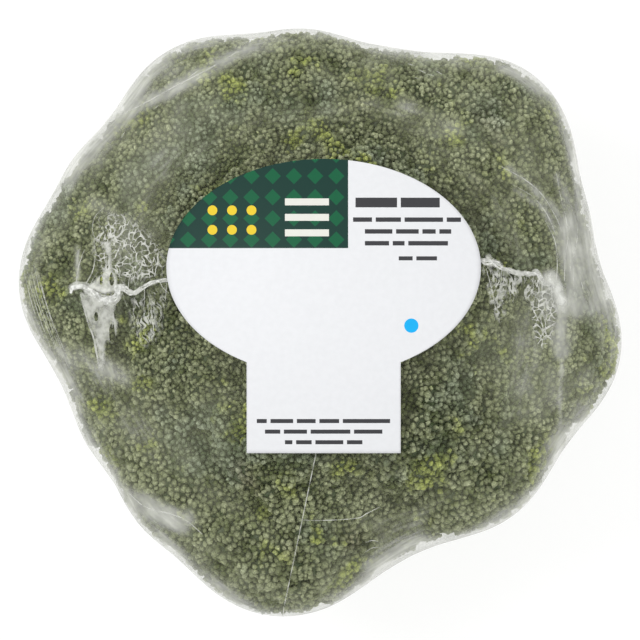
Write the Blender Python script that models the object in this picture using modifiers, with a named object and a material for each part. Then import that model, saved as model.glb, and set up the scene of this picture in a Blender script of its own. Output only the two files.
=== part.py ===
"""Broccoli head in a shrunk film wrap, with a paper label on its crown.

The head is one grown piece: a cut stalk that forks into branches, each ending in a
domed floret covered with tufts of buds. A clear film is drawn taut over the florets and
gathered round the stalk, and a label lies on the film where the crown is highest.

Units are metres, +Z is up, and the origin is the middle of the stalk's cut end.
"""
import math

import bmesh
import bpy
import numpy as np

# Stalk: a stout stem, cut flat, that widens slowly to the fork.
STALK_CUT_RADIUS = 0.0195
STALK_CUT_BEVEL = 0.0013
STALK_FORK_RADIUS = 0.0240
STALK_TOP_SHARE = 0.8
STALK_SIDES = 20
STALK_RIBS = 5
STALK_RIB_DEPTH = 0.04
FORK_HEIGHT = 0.040
FORK_TOP = 0.058

# Branches: one for each floret, from inside the stalk to the floret's middle.
BRANCH_ROOT_HEIGHT = 0.030
BRANCH_ROOT_RADIUS = 0.0085
BRANCH_TIP_SHARE = 0.55
BRANCH_SIDES = 8

# Florets, as (azimuth in degrees, reach of the tip from the stalk's axis, dome radius,
# height of the dome's middle). The first ring hangs over the rim of the crown.
OUTER_FLORETS = (
    (354, 0.0735, 0.0240, 0.064),
    (25, 0.0705, 0.0220, 0.067),
    (47, 0.0790, 0.0240, 0.068),
    (73, 0.0680, 0.0195, 0.066),
    (96, 0.0708, 0.0235, 0.066),
    (119, 0.0750, 0.0250, 0.065),
    (148, 0.0715, 0.0215, 0.068),
    (169, 0.0740, 0.0250, 0.065),
    (207, 0.0640, 0.0230, 0.062),
    (233, 0.0665, 0.0220, 0.068),
    (259, 0.0728, 0.0265, 0.066),
    (289, 0.0590, 0.0190, 0.060),
    (320, 0.0670, 0.0260, 0.065),
)
# The second ring and the middle floret make the top of the crown.
INNER_COUNT = 6
INNER_START = 12
INNER_REACH = 0.0500
INNER_RADIUS = 0.0220
INNER_HEIGHT = 0.0825
MIDDLE_RADIUS = 0.0245
MIDDLE_HEIGHT = 0.0855
# Heart: the tight knot of stems under the florets, where no light gets through.
HEART_WIDTH = 0.0500
HEART_DEPTH = 0.0260
HEART_HEIGHT = 0.0690
HEART_POINTS = 90

# Tufts: knots of buds, larger than life, that stand out of each dome.
TUFT_SPACING = 0.0116
TUFT_RISE = 0.0038
TUFT_RING_SHARE = 0.25
TUFT_RING_POINTS = 5
# The groove round a tuft lies this share of the spacing from its middle. A middle between
# two tufts counts as groove only above this share of the dome's radius.
GROOVE_SHARE = 0.53
GROOVE_DEPTH_LIMIT = 0.92
TUFT_SIZE_SPREAD = 0.35
OUTER_CAP_DEGREES = 104
INNER_CAP_DEGREES = 72
UNDERSIDE_SQUASH = 0.62
UNDERSIDE_POINTS = 16
UNDERSIDE_STEP = 0.12

# Film: a net of points round FILM_CENTRE, each pulled in until a floret holds it.
FILM_THICKNESS = 0.0004
FILM_CLEARANCE = 0.0009
FILM_POINTS = 1150
FILM_CENTRE_HEIGHT = 0.060
FILM_RIM_HEIGHT = 0.0045
FILM_RIM_GAP = 0.0010
FILM_RIM_POINTS = 30
FILM_RIM_STEP = 0.022
FILM_PULLS = 150

# Label: a rounded top on a straight foot, bent to the crown's large curve.
LABEL_WIDTH = 0.0770
LABEL_HEIGHT = 0.0720
LABEL_ROUND_HEIGHT = 0.0533
LABEL_FOOT_WIDTH = 0.0378
LABEL_CENTRE_X = 0.0009
LABEL_TOP_Y = 0.0393
LABEL_THICKNESS = 0.0003
LABEL_GAP = 0.0005
LABEL_COLUMNS = 12
LABEL_ROWS = 16
LABEL_MARGIN = 0.004
BED_RADIUS = 0.0950
BED_TOP = 0.1125

GOLDEN_ANGLE = math.pi * (3 - math.sqrt(5))
SEED = 7


def clear_scene():
    for obj in list(bpy.data.objects):
        bpy.data.objects.remove(obj)


def new_collection(name):
    collection = bpy.data.collections.new(name)
    bpy.context.scene.collection.children.link(collection)
    return collection


def material(name, colour, roughness, alpha=1.0):
    made = bpy.data.materials.new(name)
    made.use_nodes = True
    shader = made.node_tree.nodes["Principled BSDF"]
    shader.inputs["Base Color"].default_value = (*colour, 1.0)
    shader.inputs["Roughness"].default_value = roughness
    shader.inputs["Metallic"].default_value = 0.0
    shader.inputs["Alpha"].default_value = alpha
    return made


def object_from(bm, name, collection):
    """A mesh object in the collection, made from a bmesh that is then freed."""
    mesh = bpy.data.meshes.new(name)
    bm.to_mesh(mesh)
    bm.free()
    obj = bpy.data.objects.new(name, mesh)
    collection.objects.link(obj)
    return obj


def unit(vectors):
    return vectors / np.linalg.norm(vectors, axis=-1, keepdims=True)


def frame_round(axis):
    """Two unit vectors that make a right-handed frame with axis, which comes third."""
    aside = np.array([0.0, 0.0, 1.0]) if abs(axis[2]) < 0.9 else np.array([1.0, 0.0, 0.0])
    first = unit(np.cross(aside, axis))
    return np.array([first, np.cross(axis, first), axis])


def spiral_directions(count, low=-1.0, high=1.0):
    """Directions evenly spread over the part of a sphere whose z runs from low to high."""
    steps = (np.arange(count) + 0.5) / count
    z = high - (high - low) * steps
    ring = np.sqrt(1 - z * z)
    turn = GOLDEN_ANGLE * np.arange(count)
    return np.stack([ring * np.cos(turn), ring * np.sin(turn), z], axis=1)


def hull_of(points):
    """A bmesh of the closed skin over points that all lie on a sphere."""
    bm = bmesh.new()
    corners = [bm.verts.new(p) for p in points]
    bmesh.ops.convex_hull(bm, input=corners)
    bmesh.ops.recalc_face_normals(bm, faces=bm.faces)
    return bm


def groove_directions(tufts):
    """Directions of the groove round each tuft: between two tufts, and amid three."""
    bm = hull_of(tufts)
    pairs = [(edge.verts[0].co + edge.verts[1].co) / 2 for edge in bm.edges]
    threes = [face.calc_center_median() for face in bm.faces]
    grooves = np.array(pairs + threes)
    bm.free()
    # Far-apart tufts round the open underside have their middles deep inside the sphere.
    return unit(grooves[np.linalg.norm(grooves, axis=1) > GROOVE_DEPTH_LIMIT])


def floret_directions(radius, cap_degrees):
    """Unit directions for one dome, in its own frame: tufts, and every point of its skin."""
    lowest = math.cos(math.radians(cap_degrees))
    area = 2 * math.pi * radius**2 * (1 - lowest)
    count = round(area / (TUFT_SPACING**2 * math.sqrt(3) / 2))
    tufts = spiral_directions(count, low=lowest)
    lean = TUFT_SPACING * TUFT_RING_SHARE / radius
    rings = []
    for tuft in tufts:
        across = frame_round(tuft)
        for step in range(TUFT_RING_POINTS):
            turn = math.tau * step / TUFT_RING_POINTS
            side = math.cos(turn) * across[0] + math.sin(turn) * across[1]
            rings.append(tuft * math.cos(lean) + side * math.sin(lean))
    below = spiral_directions(UNDERSIDE_POINTS, high=lowest - UNDERSIDE_STEP)
    return tufts, np.concatenate([np.array(rings), groove_directions(tufts), below])


def tuft_rise(directions, tufts, radius, rises):
    """How far each direction stands out: high on a tuft, nothing in the groove round it."""
    closeness = directions @ tufts.T
    nearest = closeness.argmax(axis=1)
    away = np.arccos(np.clip(closeness.max(axis=1), -1, 1)) * radius
    share = np.clip(away / (TUFT_SPACING * GROOVE_SHARE), 0, 1)
    return rises[nearest] * np.sqrt(1 - share**2)


def make_floret(name, middle, axis, radius, cap_degrees, draw, collection):
    """A dome of tufts round middle, facing along axis, flatter underneath."""
    tufts, directions = floret_directions(radius, cap_degrees)
    rises = TUFT_RISE * (1 + TUFT_SIZE_SPREAD * (draw.random(len(tufts)) - 0.5))
    bm = hull_of(directions)
    skin = np.array([v.co for v in bm.verts])
    reach = radius - TUFT_RISE + tuft_rise(skin, tufts, radius, rises)
    local = skin * reach[:, None]
    local[:, 2] = np.where(local[:, 2] < 0, local[:, 2] * UNDERSIDE_SQUASH, local[:, 2])
    world = local @ frame_round(axis) + middle
    for vertex, place in zip(bm.verts, world):
        vertex.co = place
    return object_from(bm, name, collection)


def make_branch(name, root, tip, root_radius, tip_radius, collection):
    """A tapered stem from root to tip, closed at both ends."""
    along = tip - root
    length = np.linalg.norm(along)
    bm = bmesh.new()
    bmesh.ops.create_cone(
        bm,
        cap_ends=True,
        segments=BRANCH_SIDES,
        radius1=root_radius,
        radius2=tip_radius,
        depth=length,
    )
    local = np.array([v.co for v in bm.verts]) + [0, 0, length / 2]
    world = local @ frame_round(along / length) + root
    for vertex, place in zip(bm.verts, world):
        vertex.co = place
    return object_from(bm, name, collection)


def make_heart(name, collection):
    """The knot of stems in the middle of the head, as one low dome-shaped solid."""
    bm = hull_of(spiral_directions(HEART_POINTS))
    for vertex in bm.verts:
        x, y, z = vertex.co
        vertex.co = (x * HEART_WIDTH, y * HEART_WIDTH, HEART_HEIGHT + z * HEART_DEPTH)
    return object_from(bm, name, collection)


def make_stalk(name, collection):
    """The main stem: softly ribbed, flat at the cut, and rounded in where it forks."""
    levels = (
        (0.0, STALK_CUT_RADIUS - STALK_CUT_BEVEL),
        (STALK_CUT_BEVEL, STALK_CUT_RADIUS),
        (FORK_HEIGHT * 0.5, (STALK_CUT_RADIUS + STALK_FORK_RADIUS) / 2),
        (FORK_HEIGHT, STALK_FORK_RADIUS),
        (FORK_TOP, STALK_FORK_RADIUS * STALK_TOP_SHARE),
    )
    bm = bmesh.new()
    loops = []
    for height, radius in levels:
        loop = []
        for step in range(STALK_SIDES):
            turn = math.tau * step / STALK_SIDES
            wide = radius * (1 + STALK_RIB_DEPTH * math.cos(STALK_RIBS * turn))
            loop.append(bm.verts.new((wide * math.cos(turn), wide * math.sin(turn), height)))
        loops.append(loop)
    edges = []
    for loop in loops:
        edges += [bm.edges.new((a, b)) for a, b in zip(loop, loop[1:] + loop[:1])]
    bmesh.ops.bridge_loops(bm, edges=edges)
    bm.faces.new(loops[0])
    bm.faces.new(loops[-1])
    bmesh.ops.recalc_face_normals(bm, faces=bm.faces)
    return object_from(bm, name, collection)


def floret_rows():
    """Middle, facing, radius and cap of every floret on the crown."""
    fork = np.array([0.0, 0.0, FORK_HEIGHT])
    rows = []
    for azimuth, reach, radius, height in OUTER_FLORETS:
        turn = math.radians(azimuth)
        out = reach - radius
        middle = np.array([out * math.cos(turn), out * math.sin(turn), height])
        rows.append((middle, unit(middle - fork), radius, OUTER_CAP_DEGREES))
    for step in range(INNER_COUNT):
        turn = math.radians(INNER_START + 360 * step / INNER_COUNT)
        out = INNER_REACH - INNER_RADIUS
        middle = np.array([out * math.cos(turn), out * math.sin(turn), INNER_HEIGHT])
        rows.append((middle, unit(middle - fork), INNER_RADIUS, INNER_CAP_DEGREES))
    middle = np.array([0.0, 0.0, MIDDLE_HEIGHT])
    rows.append((middle, unit(middle - fork), MIDDLE_RADIUS, INNER_CAP_DEGREES))
    return rows


def join_into(base, pieces):
    """One Boolean union of base with all the pieces of a collection, applied."""
    union = base.modifiers.new("join", "BOOLEAN")
    union.operation = "UNION"
    union.operand_type = "COLLECTION"
    union.collection = pieces
    union.solver = "MANIFOLD"
    bpy.context.view_layer.update()
    graph = bpy.context.evaluated_depsgraph_get()
    joined = bpy.data.meshes.new_from_object(base.evaluated_get(graph))
    base.modifiers.clear()
    base.data = joined
    for obj in list(pieces.objects):
        bpy.data.objects.remove(obj)
    bpy.data.collections.remove(pieces)


def make_head(collection):
    """Stalk, branches, heart and florets, grown together as one solid."""
    draw = np.random.default_rng(SEED)
    pieces = new_collection("head_pieces")
    root = np.array([0.0, 0.0, BRANCH_ROOT_HEIGHT])
    for number, (middle, axis, radius, cap) in enumerate(floret_rows()):
        make_floret(f"floret_{number:02d}", middle, axis, radius, cap, draw, pieces)
        tip_radius = radius * BRANCH_TIP_SHARE
        make_branch(f"branch_{number:02d}", root, middle, BRANCH_ROOT_RADIUS, tip_radius, pieces)
    make_heart("heart", pieces)
    head = make_stalk("broccoli_head", collection)
    join_into(head, pieces)
    head.data.shade_flat()
    head.data.materials.clear()
    head.data.materials.append(material("broccoli", (0.075, 0.115, 0.040), 0.75))
    return head


def bed_height(x, y):
    """Height of the crown's large curve, on which the label lies."""
    return BED_TOP - BED_RADIUS + np.sqrt(np.maximum(BED_RADIUS**2 - x * x - y * y, 0))


def label_half_width(y):
    """Half the label's width at a height y of its outline: the round part, or the foot."""
    round_middle = LABEL_TOP_Y - LABEL_ROUND_HEIGHT / 2
    share = np.clip((y - round_middle) / (LABEL_ROUND_HEIGHT / 2), -1, 1)
    rounded = LABEL_WIDTH / 2 * np.sqrt(1 - share**2)
    return np.where(y < round_middle, np.maximum(rounded, LABEL_FOOT_WIDTH / 2), rounded)


def under_label(x, y):
    """True where a point of the crown is under the label or close beside it."""
    low = LABEL_TOP_Y - LABEL_HEIGHT
    inside = (y > low - LABEL_MARGIN) & (y < LABEL_TOP_Y + LABEL_MARGIN)
    y = np.clip(y, low, LABEL_TOP_Y)
    return inside & (np.abs(x - LABEL_CENTRE_X) < label_half_width(y) + LABEL_MARGIN)


def way_out(directions, centre, middle, radius):
    """Distance from centre to where each direction leaves a ball, or 0 where it misses."""
    offset = middle - centre
    along = directions @ offset
    inside = radius**2 - (offset @ offset - along**2)
    return np.where(inside > 0, along + np.sqrt(np.maximum(inside, 0)), 0)


def held_out(directions, centre):
    """The least distance at which the film can lie: clear of florets, stalk and label bed."""
    least = np.zeros(len(directions))
    for middle, _, radius, _ in floret_rows():
        ball = radius + TUFT_RISE * TUFT_SIZE_SPREAD / 2 + FILM_CLEARANCE
        least = np.maximum(least, way_out(directions, centre, middle, ball))
    for height in (FORK_HEIGHT / 2, BRANCH_ROOT_HEIGHT, FORK_HEIGHT):
        ball = STALK_FORK_RADIUS * (1 + STALK_RIB_DEPTH) + FILM_CLEARANCE
        least = np.maximum(least, way_out(directions, centre, np.array([0, 0, height]), ball))
    bed_middle = np.array([0, 0, BED_TOP - BED_RADIUS])
    bed = way_out(directions, centre, bed_middle, BED_RADIUS)
    spot = directions * bed[:, None] + centre
    covered = (directions[:, 2] > 0) & under_label(spot[:, 0], spot[:, 1])
    return np.where(covered, np.maximum(least, bed), least)


def film_directions(centre):
    """Evenly spread directions down to the rim, then the rim's own ring of directions."""
    rim_radius = STALK_CUT_RADIUS * (1 + STALK_RIB_DEPTH) + FILM_RIM_GAP
    rim = np.array([rim_radius, 0, FILM_RIM_HEIGHT - centre[2]])
    rim_z = unit(rim)[2]
    spread = spiral_directions(FILM_POINTS, low=rim_z + FILM_RIM_STEP)
    turns = math.tau * np.arange(FILM_RIM_POINTS) / FILM_RIM_POINTS
    ring = math.sqrt(1 - rim_z**2)
    rims = np.stack([ring * np.cos(turns), ring * np.sin(turns), np.full(len(turns), rim_z)], 1)
    return np.concatenate([spread, rims]), rim_z, np.linalg.norm(rim)


def pull_taut(directions, least, fixed, links):
    """Moves every free point to the middle of its neighbours, but never inside its least."""
    reach = np.full(len(directions), least.max())
    reach[fixed] = least[fixed]
    counts = np.bincount(links[:, 0], minlength=len(directions))
    for _ in range(FILM_PULLS):
        points = directions * reach[:, None]
        middle = np.zeros_like(points)
        np.add.at(middle, links[:, 0], points[links[:, 1]])
        middle /= counts[:, None]
        pulled = np.maximum((middle * directions).sum(axis=1), least)
        reach = np.where(fixed, reach, pulled)
    return reach


def make_film(collection):
    """The wrap: one taut skin, open round the stalk's cut end, with a real thickness."""
    centre = np.array([0.0, 0.0, FILM_CENTRE_HEIGHT])
    directions, rim_z, rim_reach = film_directions(centre)
    bm = hull_of(directions)
    bm.verts.index_update()
    skin = np.array([v.co for v in bm.verts])
    links = np.array([[v.index for v in e.verts] for e in bm.edges])
    links = np.concatenate([links, links[:, ::-1]])
    on_rim = skin[:, 2] < rim_z + FILM_RIM_STEP / 100
    least = np.where(on_rim, rim_reach, held_out(skin, centre))
    reach = pull_taut(skin, least, on_rim, links)
    caps = [f for f in bm.faces if all(on_rim[v.index] for v in f.verts)]
    bmesh.ops.delete(bm, geom=caps, context="FACES_ONLY")
    for vertex, place in zip(bm.verts, skin * reach[:, None] + centre):
        vertex.co = place
    film = object_from(bm, "wrap_film", collection)
    wall = film.modifiers.new("wall", "SOLIDIFY")
    wall.thickness = FILM_THICKNESS
    wall.offset = 1.0
    film.data.shade_smooth()
    film.data.materials.append(material("film", (0.80, 0.82, 0.78), 0.30, alpha=0.3))
    return film


def make_label(collection):
    """The paper label: a flat grid drawn to the outline, then laid on the crown's curve."""
    bm = bmesh.new()
    bmesh.ops.create_grid(bm, x_segments=LABEL_COLUMNS, y_segments=LABEL_ROWS, size=1.0)
    lift = FILM_THICKNESS + LABEL_GAP
    for vertex in bm.verts:
        # Rows crowd towards the rounded top, where the outline turns fastest.
        row = math.sin((vertex.co.y + 1) * math.pi / 4)
        y = LABEL_TOP_Y - LABEL_HEIGHT + LABEL_HEIGHT * row
        x = LABEL_CENTRE_X + vertex.co.x * float(label_half_width(y))
        vertex.co = (x, y, float(bed_height(x, y)) + lift)
    bmesh.ops.remove_doubles(bm, verts=bm.verts, dist=0.0001)
    label = object_from(bm, "label", collection)
    paper = label.modifiers.new("paper", "SOLIDIFY")
    paper.thickness = LABEL_THICKNESS
    paper.offset = 1.0
    label.data.materials.append(material("paper", (0.88, 0.89, 0.90), 0.55))
    return label


def main():
    clear_scene()
    collection = new_collection("wrapped_broccoli")
    make_head(collection)
    make_film(collection)
    make_label(collection)


main()
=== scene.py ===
# %% [markdown]
# # A head of broccoli in shrink film
#
# The photograph looks straight down on a head of broccoli that is wrapped in hazy film,
# with a paper label on top. The CAD model gives the real sizes: a head with florets and
# tufts, a film round it and a label. This lesson dresses that model. It grows the buds,
# thins the film to a veil with creases and melted seams, and prints the label.
#
# Everything is in metres, in the CAD model's own frame: +Z is up, and the head stands on
# its cut stalk at the origin.

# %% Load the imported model
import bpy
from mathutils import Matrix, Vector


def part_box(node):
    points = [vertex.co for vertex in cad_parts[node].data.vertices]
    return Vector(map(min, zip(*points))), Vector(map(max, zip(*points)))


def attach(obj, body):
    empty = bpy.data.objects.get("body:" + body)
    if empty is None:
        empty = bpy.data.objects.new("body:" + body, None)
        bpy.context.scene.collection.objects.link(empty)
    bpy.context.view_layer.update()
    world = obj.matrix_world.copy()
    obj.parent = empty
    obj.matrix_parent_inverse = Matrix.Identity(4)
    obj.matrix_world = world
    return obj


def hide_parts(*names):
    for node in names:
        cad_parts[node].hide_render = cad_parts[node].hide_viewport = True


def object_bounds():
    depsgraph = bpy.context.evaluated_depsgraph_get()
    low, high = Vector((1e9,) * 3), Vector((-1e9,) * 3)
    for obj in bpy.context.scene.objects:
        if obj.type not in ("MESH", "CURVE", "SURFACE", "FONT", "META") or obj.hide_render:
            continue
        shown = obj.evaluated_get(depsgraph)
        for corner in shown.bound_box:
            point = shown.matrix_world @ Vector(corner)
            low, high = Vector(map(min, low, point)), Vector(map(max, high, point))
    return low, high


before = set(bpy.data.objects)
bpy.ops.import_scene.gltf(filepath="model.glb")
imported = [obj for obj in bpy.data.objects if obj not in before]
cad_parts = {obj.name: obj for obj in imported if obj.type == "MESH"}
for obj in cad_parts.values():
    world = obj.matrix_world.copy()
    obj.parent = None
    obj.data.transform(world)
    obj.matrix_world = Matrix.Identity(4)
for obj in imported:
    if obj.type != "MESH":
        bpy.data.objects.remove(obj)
print("The model's nodes are", ", ".join(sorted(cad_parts)))

# %% [markdown]
# ## Tools and size
#
# Loops over Blender's own vertices would do for a small model. This one has tens of
# thousands of points, so numpy handles them all at once, and one seeded generator makes
# every run alike. The model's box is noted before anything is added to it.

# %% Bring in the tools and note the model's size
import math

import bmesh
import bpy
import numpy as np
from mathutils import Vector, noise
from mathutils.bvhtree import BVHTree

MM = 0.001
cad_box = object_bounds()
draw = np.random.default_rng(11)
print("The model measures", [round((b - a) / MM, 1) for a, b in zip(*cad_box)], "mm")

# %% [markdown]
# ## Camera
#
# A picture taken from straight above could use an orthographic camera or a long lens. A
# long lens is the real thing: from six metres away the label, which is nearer to the
# camera than the rim, looks hardly larger than it is. The lens follows from the width
# that the picture spans where the crown is widest.

# %% Hang the camera over the head
PICTURE_WIDTH = 158.1 * MM
PICTURE_MIDDLE_Y = -0.12 * MM
CAMERA_HEIGHT = 6.0
WIDEST_HEIGHT = 66 * MM

lens = bpy.data.cameras.new("long_lens")
lens.lens = lens.sensor_width * (CAMERA_HEIGHT - WIDEST_HEIGHT) / PICTURE_WIDTH
camera = bpy.data.objects.new("camera", lens)
camera.location = (0, PICTURE_MIDDLE_Y, CAMERA_HEIGHT)
bpy.context.scene.collection.objects.link(camera)
bpy.context.scene.camera = camera
print("The lens is", round(lens.lens), "mm long")

# %% [markdown]
# ## Light and floor
#
# A product that floats on pure white is often photographed on a light table: a white
# sheet that also glows from below, so that the shadow on it stays faint. Here the floor
# has a weak emission for that. A bright world lights the head from all round. One large
# soft lamp on the left gives the buds a lit side, and a smaller one on the right puts
# glints on the film.

# %% Light the head
SKY_STRENGTH = 0.80
KEY_LAMP = {"place": (-0.65, 0.25, 1.35), "size": 0.50, "watts": 6.4}
GLINT_LAMP = {"place": (0.75, 0.10, 1.00), "size": 0.16, "watts": 1.6}

sky = bpy.data.worlds.new("studio")
sky.use_nodes = True
sky.node_tree.nodes["Background"].inputs["Color"].default_value = (1, 1, 1, 1)
sky.node_tree.nodes["Background"].inputs["Strength"].default_value = SKY_STRENGTH
bpy.context.scene.world = sky
bpy.context.scene.view_settings.view_transform = "Standard"


def soft_lamp(name, place, size, watts):
    """A square lamp that faces the middle of the head and that the camera can't see."""
    data = bpy.data.lights.new(name, "AREA")
    data.size = size
    data.energy = watts
    lamp = bpy.data.objects.new(name, data)
    lamp.location = place
    aim = Vector((0, 0, WIDEST_HEIGHT)) - lamp.location
    lamp.rotation_euler = aim.to_track_quat("-Z", "Y").to_euler()
    lamp.visible_camera = False
    bpy.context.scene.collection.objects.link(lamp)
    return lamp


soft_lamp("key_lamp", **KEY_LAMP)
soft_lamp("glint_lamp", **GLINT_LAMP)
print("Two lamps are", round(Vector(KEY_LAMP["place"]).length, 1), "and",
      round(Vector(GLINT_LAMP["place"]).length, 1), "m away")

# %% Lay the table under it
FLOOR_SIZE = 12.0

floor_mesh = bpy.data.meshes.new("table")
half_floor = FLOOR_SIZE / 2
floor_corners = [(-half_floor, -half_floor, 0), (half_floor, -half_floor, 0),
                 (half_floor, half_floor, 0), (-half_floor, half_floor, 0)]
floor_mesh.from_pydata(floor_corners, [], [(0, 1, 2, 3)])
table = bpy.data.objects.new("table", floor_mesh)
table.location.z = cad_box[0].z
bpy.context.scene.collection.objects.link(table)
print("The table is", FLOOR_SIZE, "m wide")

# %% [markdown]
# ## Small helpers
#
# A finish here is a Principled shader and a few nodes in front of it. Such trees can be
# drawn by hand in the shader editor. In a script, two short helpers keep the recipes
# readable: one makes the material, the other adds a node and plugs things into it.

# %% Make a finish
def new_finish(name, colour, roughness):
    """A material, its tree and its Principled shader."""
    finish = bpy.data.materials.new(name)
    finish.use_nodes = True
    tree = finish.node_tree
    shader = tree.nodes["Principled BSDF"]
    shader.inputs["Base Color"].default_value = (*colour, 1)
    shader.inputs["Roughness"].default_value = roughness
    return finish, tree, shader


def add(tree, kind, settings=None, **plugs):
    """A node with its settings, and with each named input set or linked."""
    node = tree.nodes.new(kind)
    for key, value in (settings or {}).items():
        setattr(node, key, value)
    for key, value in plugs.items():
        place = node.inputs[int(key[1:])] if key[0] == "_" else node.inputs[key.replace("_", " ")]
        if isinstance(value, bpy.types.NodeSocket):
            tree.links.new(value, place)
        else:
            place.default_value = value
    return node


print("A finish can be made")

# %% [markdown]
# Most recipes need the same few nodes: arithmetic, a blend of two colours, a soft
# threshold, noise and bump. Each gets a name of its own, which is shorter than a node
# group and can be read from top to bottom.

# %% Name the nodes that come up often
def math_node(tree, operation, first, second=0.0):
    return add(tree, "ShaderNodeMath", {"operation": operation}, _0=first, _1=second).outputs[0]


def shaded(tree, colour, share):
    """The colour multiplied by one number."""
    grey = add(tree, "ShaderNodeCombineColor", _0=share, _1=share, _2=share).outputs[0]
    settings = {"data_type": "RGBA", "blend_type": "MULTIPLY"}
    return add(tree, "ShaderNodeMix", settings, _0=1.0, _6=colour, _7=grey).outputs[2]


def blend_colour(tree, share, first, second):
    """Goes from the first colour to the second as share goes from 0 to 1."""
    node = add(tree, "ShaderNodeMix", {"data_type": "RGBA"}, _0=share, _6=first, _7=second)
    return node.outputs[2]


def ease(tree, value, low, high, to_low=0.0, to_high=1.0):
    """Maps low..high to to_low..to_high with soft ends."""
    return add(tree, "ShaderNodeMapRange", {"interpolation_type": "SMOOTHSTEP"},
               Value=value, From_Min=low, From_Max=high, To_Min=to_low, To_Max=to_high).outputs[0]


def grain(tree, scale, detail=2.0, place=None):
    """Noise over the object's own metres, or over any other coordinates."""
    place = place or add(tree, "ShaderNodeTexCoord").outputs["Object"]
    return add(tree, "ShaderNodeTexNoise", Vector=place, Scale=scale, Detail=detail).outputs[0]


def bump(tree, shader, height, distance, strength=1.0):
    node = add(tree, "ShaderNodeBump", Strength=strength, Distance=distance, Height=height)
    tree.links.new(node.outputs[0], shader.inputs["Normal"])


print("Finishes can be mottled and bumped")

# %% [markdown]
# Every piece rides on the model's root, because nothing on a head of broccoli moves. One
# helper turns arrays of points and faces into a piece. Two more give numpy the same soft
# threshold and noise that the nodes have.

# %% Turn arrays into pieces
def piece_of(name, points, faces, finish):
    """A smooth-shaded mesh piece in the model's frame, with its finish."""
    mesh = bpy.data.meshes.new(name)
    mesh.from_pydata(np.asarray(points).tolist(), [], faces)
    mesh.shade_smooth()
    return dress(bpy.data.objects.new(name, mesh), finish)


def dress(obj, finish):
    """Puts a finish on an object, links it and lets it ride on the model."""
    if obj.name not in bpy.context.scene.collection.objects:
        bpy.context.scene.collection.objects.link(obj)
    obj.data.materials.clear()
    obj.data.materials.append(finish)
    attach(obj, "root")
    return obj


def smooth_step(values, low, high):
    share = np.clip((values - low) / (high - low), 0, 1)
    return share * share * (3 - 2 * share)


def rough_at(points, size, offset=0.0):
    """Smooth noise from -1 to 1 at each point, with lumps of about the given size."""
    return np.array([noise.noise(Vector(p) / size + Vector((offset, 0, 0))) for p in points])


print("Pieces can be made")

# %% [markdown]
# The light table is a matt white sheet over lamps. A translucent sheet with a lamp under
# it would copy that, but a grey surface with a weak even glow looks the same from above
# and adds no grain to the picture.

# %% Make the table glow
FLOOR_GLOW = 0.72

finish, tree, shader = new_finish("light_table", (0.34, 0.34, 0.34), 0.9)
shader.inputs["Emission Color"].default_value = (1, 1, 1, 1)
shader.inputs["Emission Strength"].default_value = FLOOR_GLOW
bump(tree, shader, grain(tree, 300), 0.0002, 0.05)
table.data.materials.append(finish)
print("The table glows with a strength of", FLOOR_GLOW)

# %% [markdown]
# ## The head under its buds
#
# The florets' flesh is what the buds grow on. It could be sculpted anew, but the CAD head
# already has every floret and tuft where it belongs, only faceted. A voxel remesh gives
# it small faces of one size, and a few rounds of smoothing turn the facets into soft
# swellings. The import splits the mesh at its corners, so they are welded first.

# %% Copy and change meshes
WELD_GAP = 1e-6


def welded(source, name, drop=None):
    """A copy of a model node's mesh with its corners joined, less the faces to drop."""
    bm = bmesh.new()
    bm.from_mesh(source.data)
    bmesh.ops.remove_doubles(bm, verts=bm.verts, dist=WELD_GAP)
    if drop:
        bmesh.ops.delete(bm, geom=[f for f in bm.faces if drop(f)], context="FACES")
    mesh = bpy.data.meshes.new(name)
    bm.to_mesh(mesh)
    bm.free()
    return bpy.data.objects.new(name, mesh)


def with_modifier(obj, kind, **settings):
    """The object with one modifier added and applied."""
    bpy.context.scene.collection.objects.link(obj)
    change = obj.modifiers.new("change", kind)
    for key, value in settings.items():
        setattr(change, key, value)
    bpy.context.view_layer.update()
    graph = bpy.context.evaluated_depsgraph_get()
    mesh = bpy.data.meshes.new_from_object(obj.evaluated_get(graph))
    obj.modifiers.clear()
    obj.data = mesh
    return obj


print("Meshes can be copied and changed")

# %% Read, move and average points
def vertex_array(mesh, what="co"):
    values = np.zeros(len(mesh.vertices) * 3)
    source = mesh.vertices if what == "co" else mesh.vertex_normals
    source.foreach_get("co" if what == "co" else "vector", values)
    return values.reshape(-1, 3)


def tree_of(points, mesh):
    """A search tree for rays and nearest points, over the mesh's faces at the given points."""
    return BVHTree.FromPolygons(points.tolist(), [tuple(face.vertices) for face in mesh.polygons])


def move_points(mesh, points):
    mesh.vertices.foreach_set("co", points.ravel())
    mesh.update()
    mesh.shade_smooth()


def spread_out(mesh, values, rounds, share=0.5):
    """Averages values over neighbouring vertices, round after round."""
    edges = np.zeros(len(mesh.edges) * 2, int)
    mesh.edges.foreach_get("vertices", edges)
    a, b = edges.reshape(-1, 2).T
    counts = np.bincount(edges, minlength=len(values)).astype(float)[:, None]
    for _ in range(rounds):
        total = np.zeros_like(values)
        np.add.at(total, a, values[b])
        np.add.at(total, b, values[a])
        values = values * (1 - share) + share * total / counts
    return values


print("Points can be read, moved and averaged")

# %% Soften the model's head
VOXEL = 1.15 * MM
SMOOTHING_ROUNDS = 3
SOFT_REACH = (50 * MM, 62 * MM)

flesh = welded(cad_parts["broccoli_head"], "grown_head")
flesh = with_modifier(flesh, "REMESH", mode="VOXEL", voxel_size=VOXEL)
flesh_points = vertex_array(flesh.data)
softer = spread_out(flesh.data, flesh_points, SMOOTHING_ROUNDS)
off_stalk = smooth_step(np.hypot(*flesh_points[:, :2].T) + flesh_points[:, 2], *SOFT_REACH)[:, None]
flesh_points = flesh_points + (softer - flesh_points) * off_stalk
print("The head's surface has", len(flesh.data.polygons), "faces")

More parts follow.
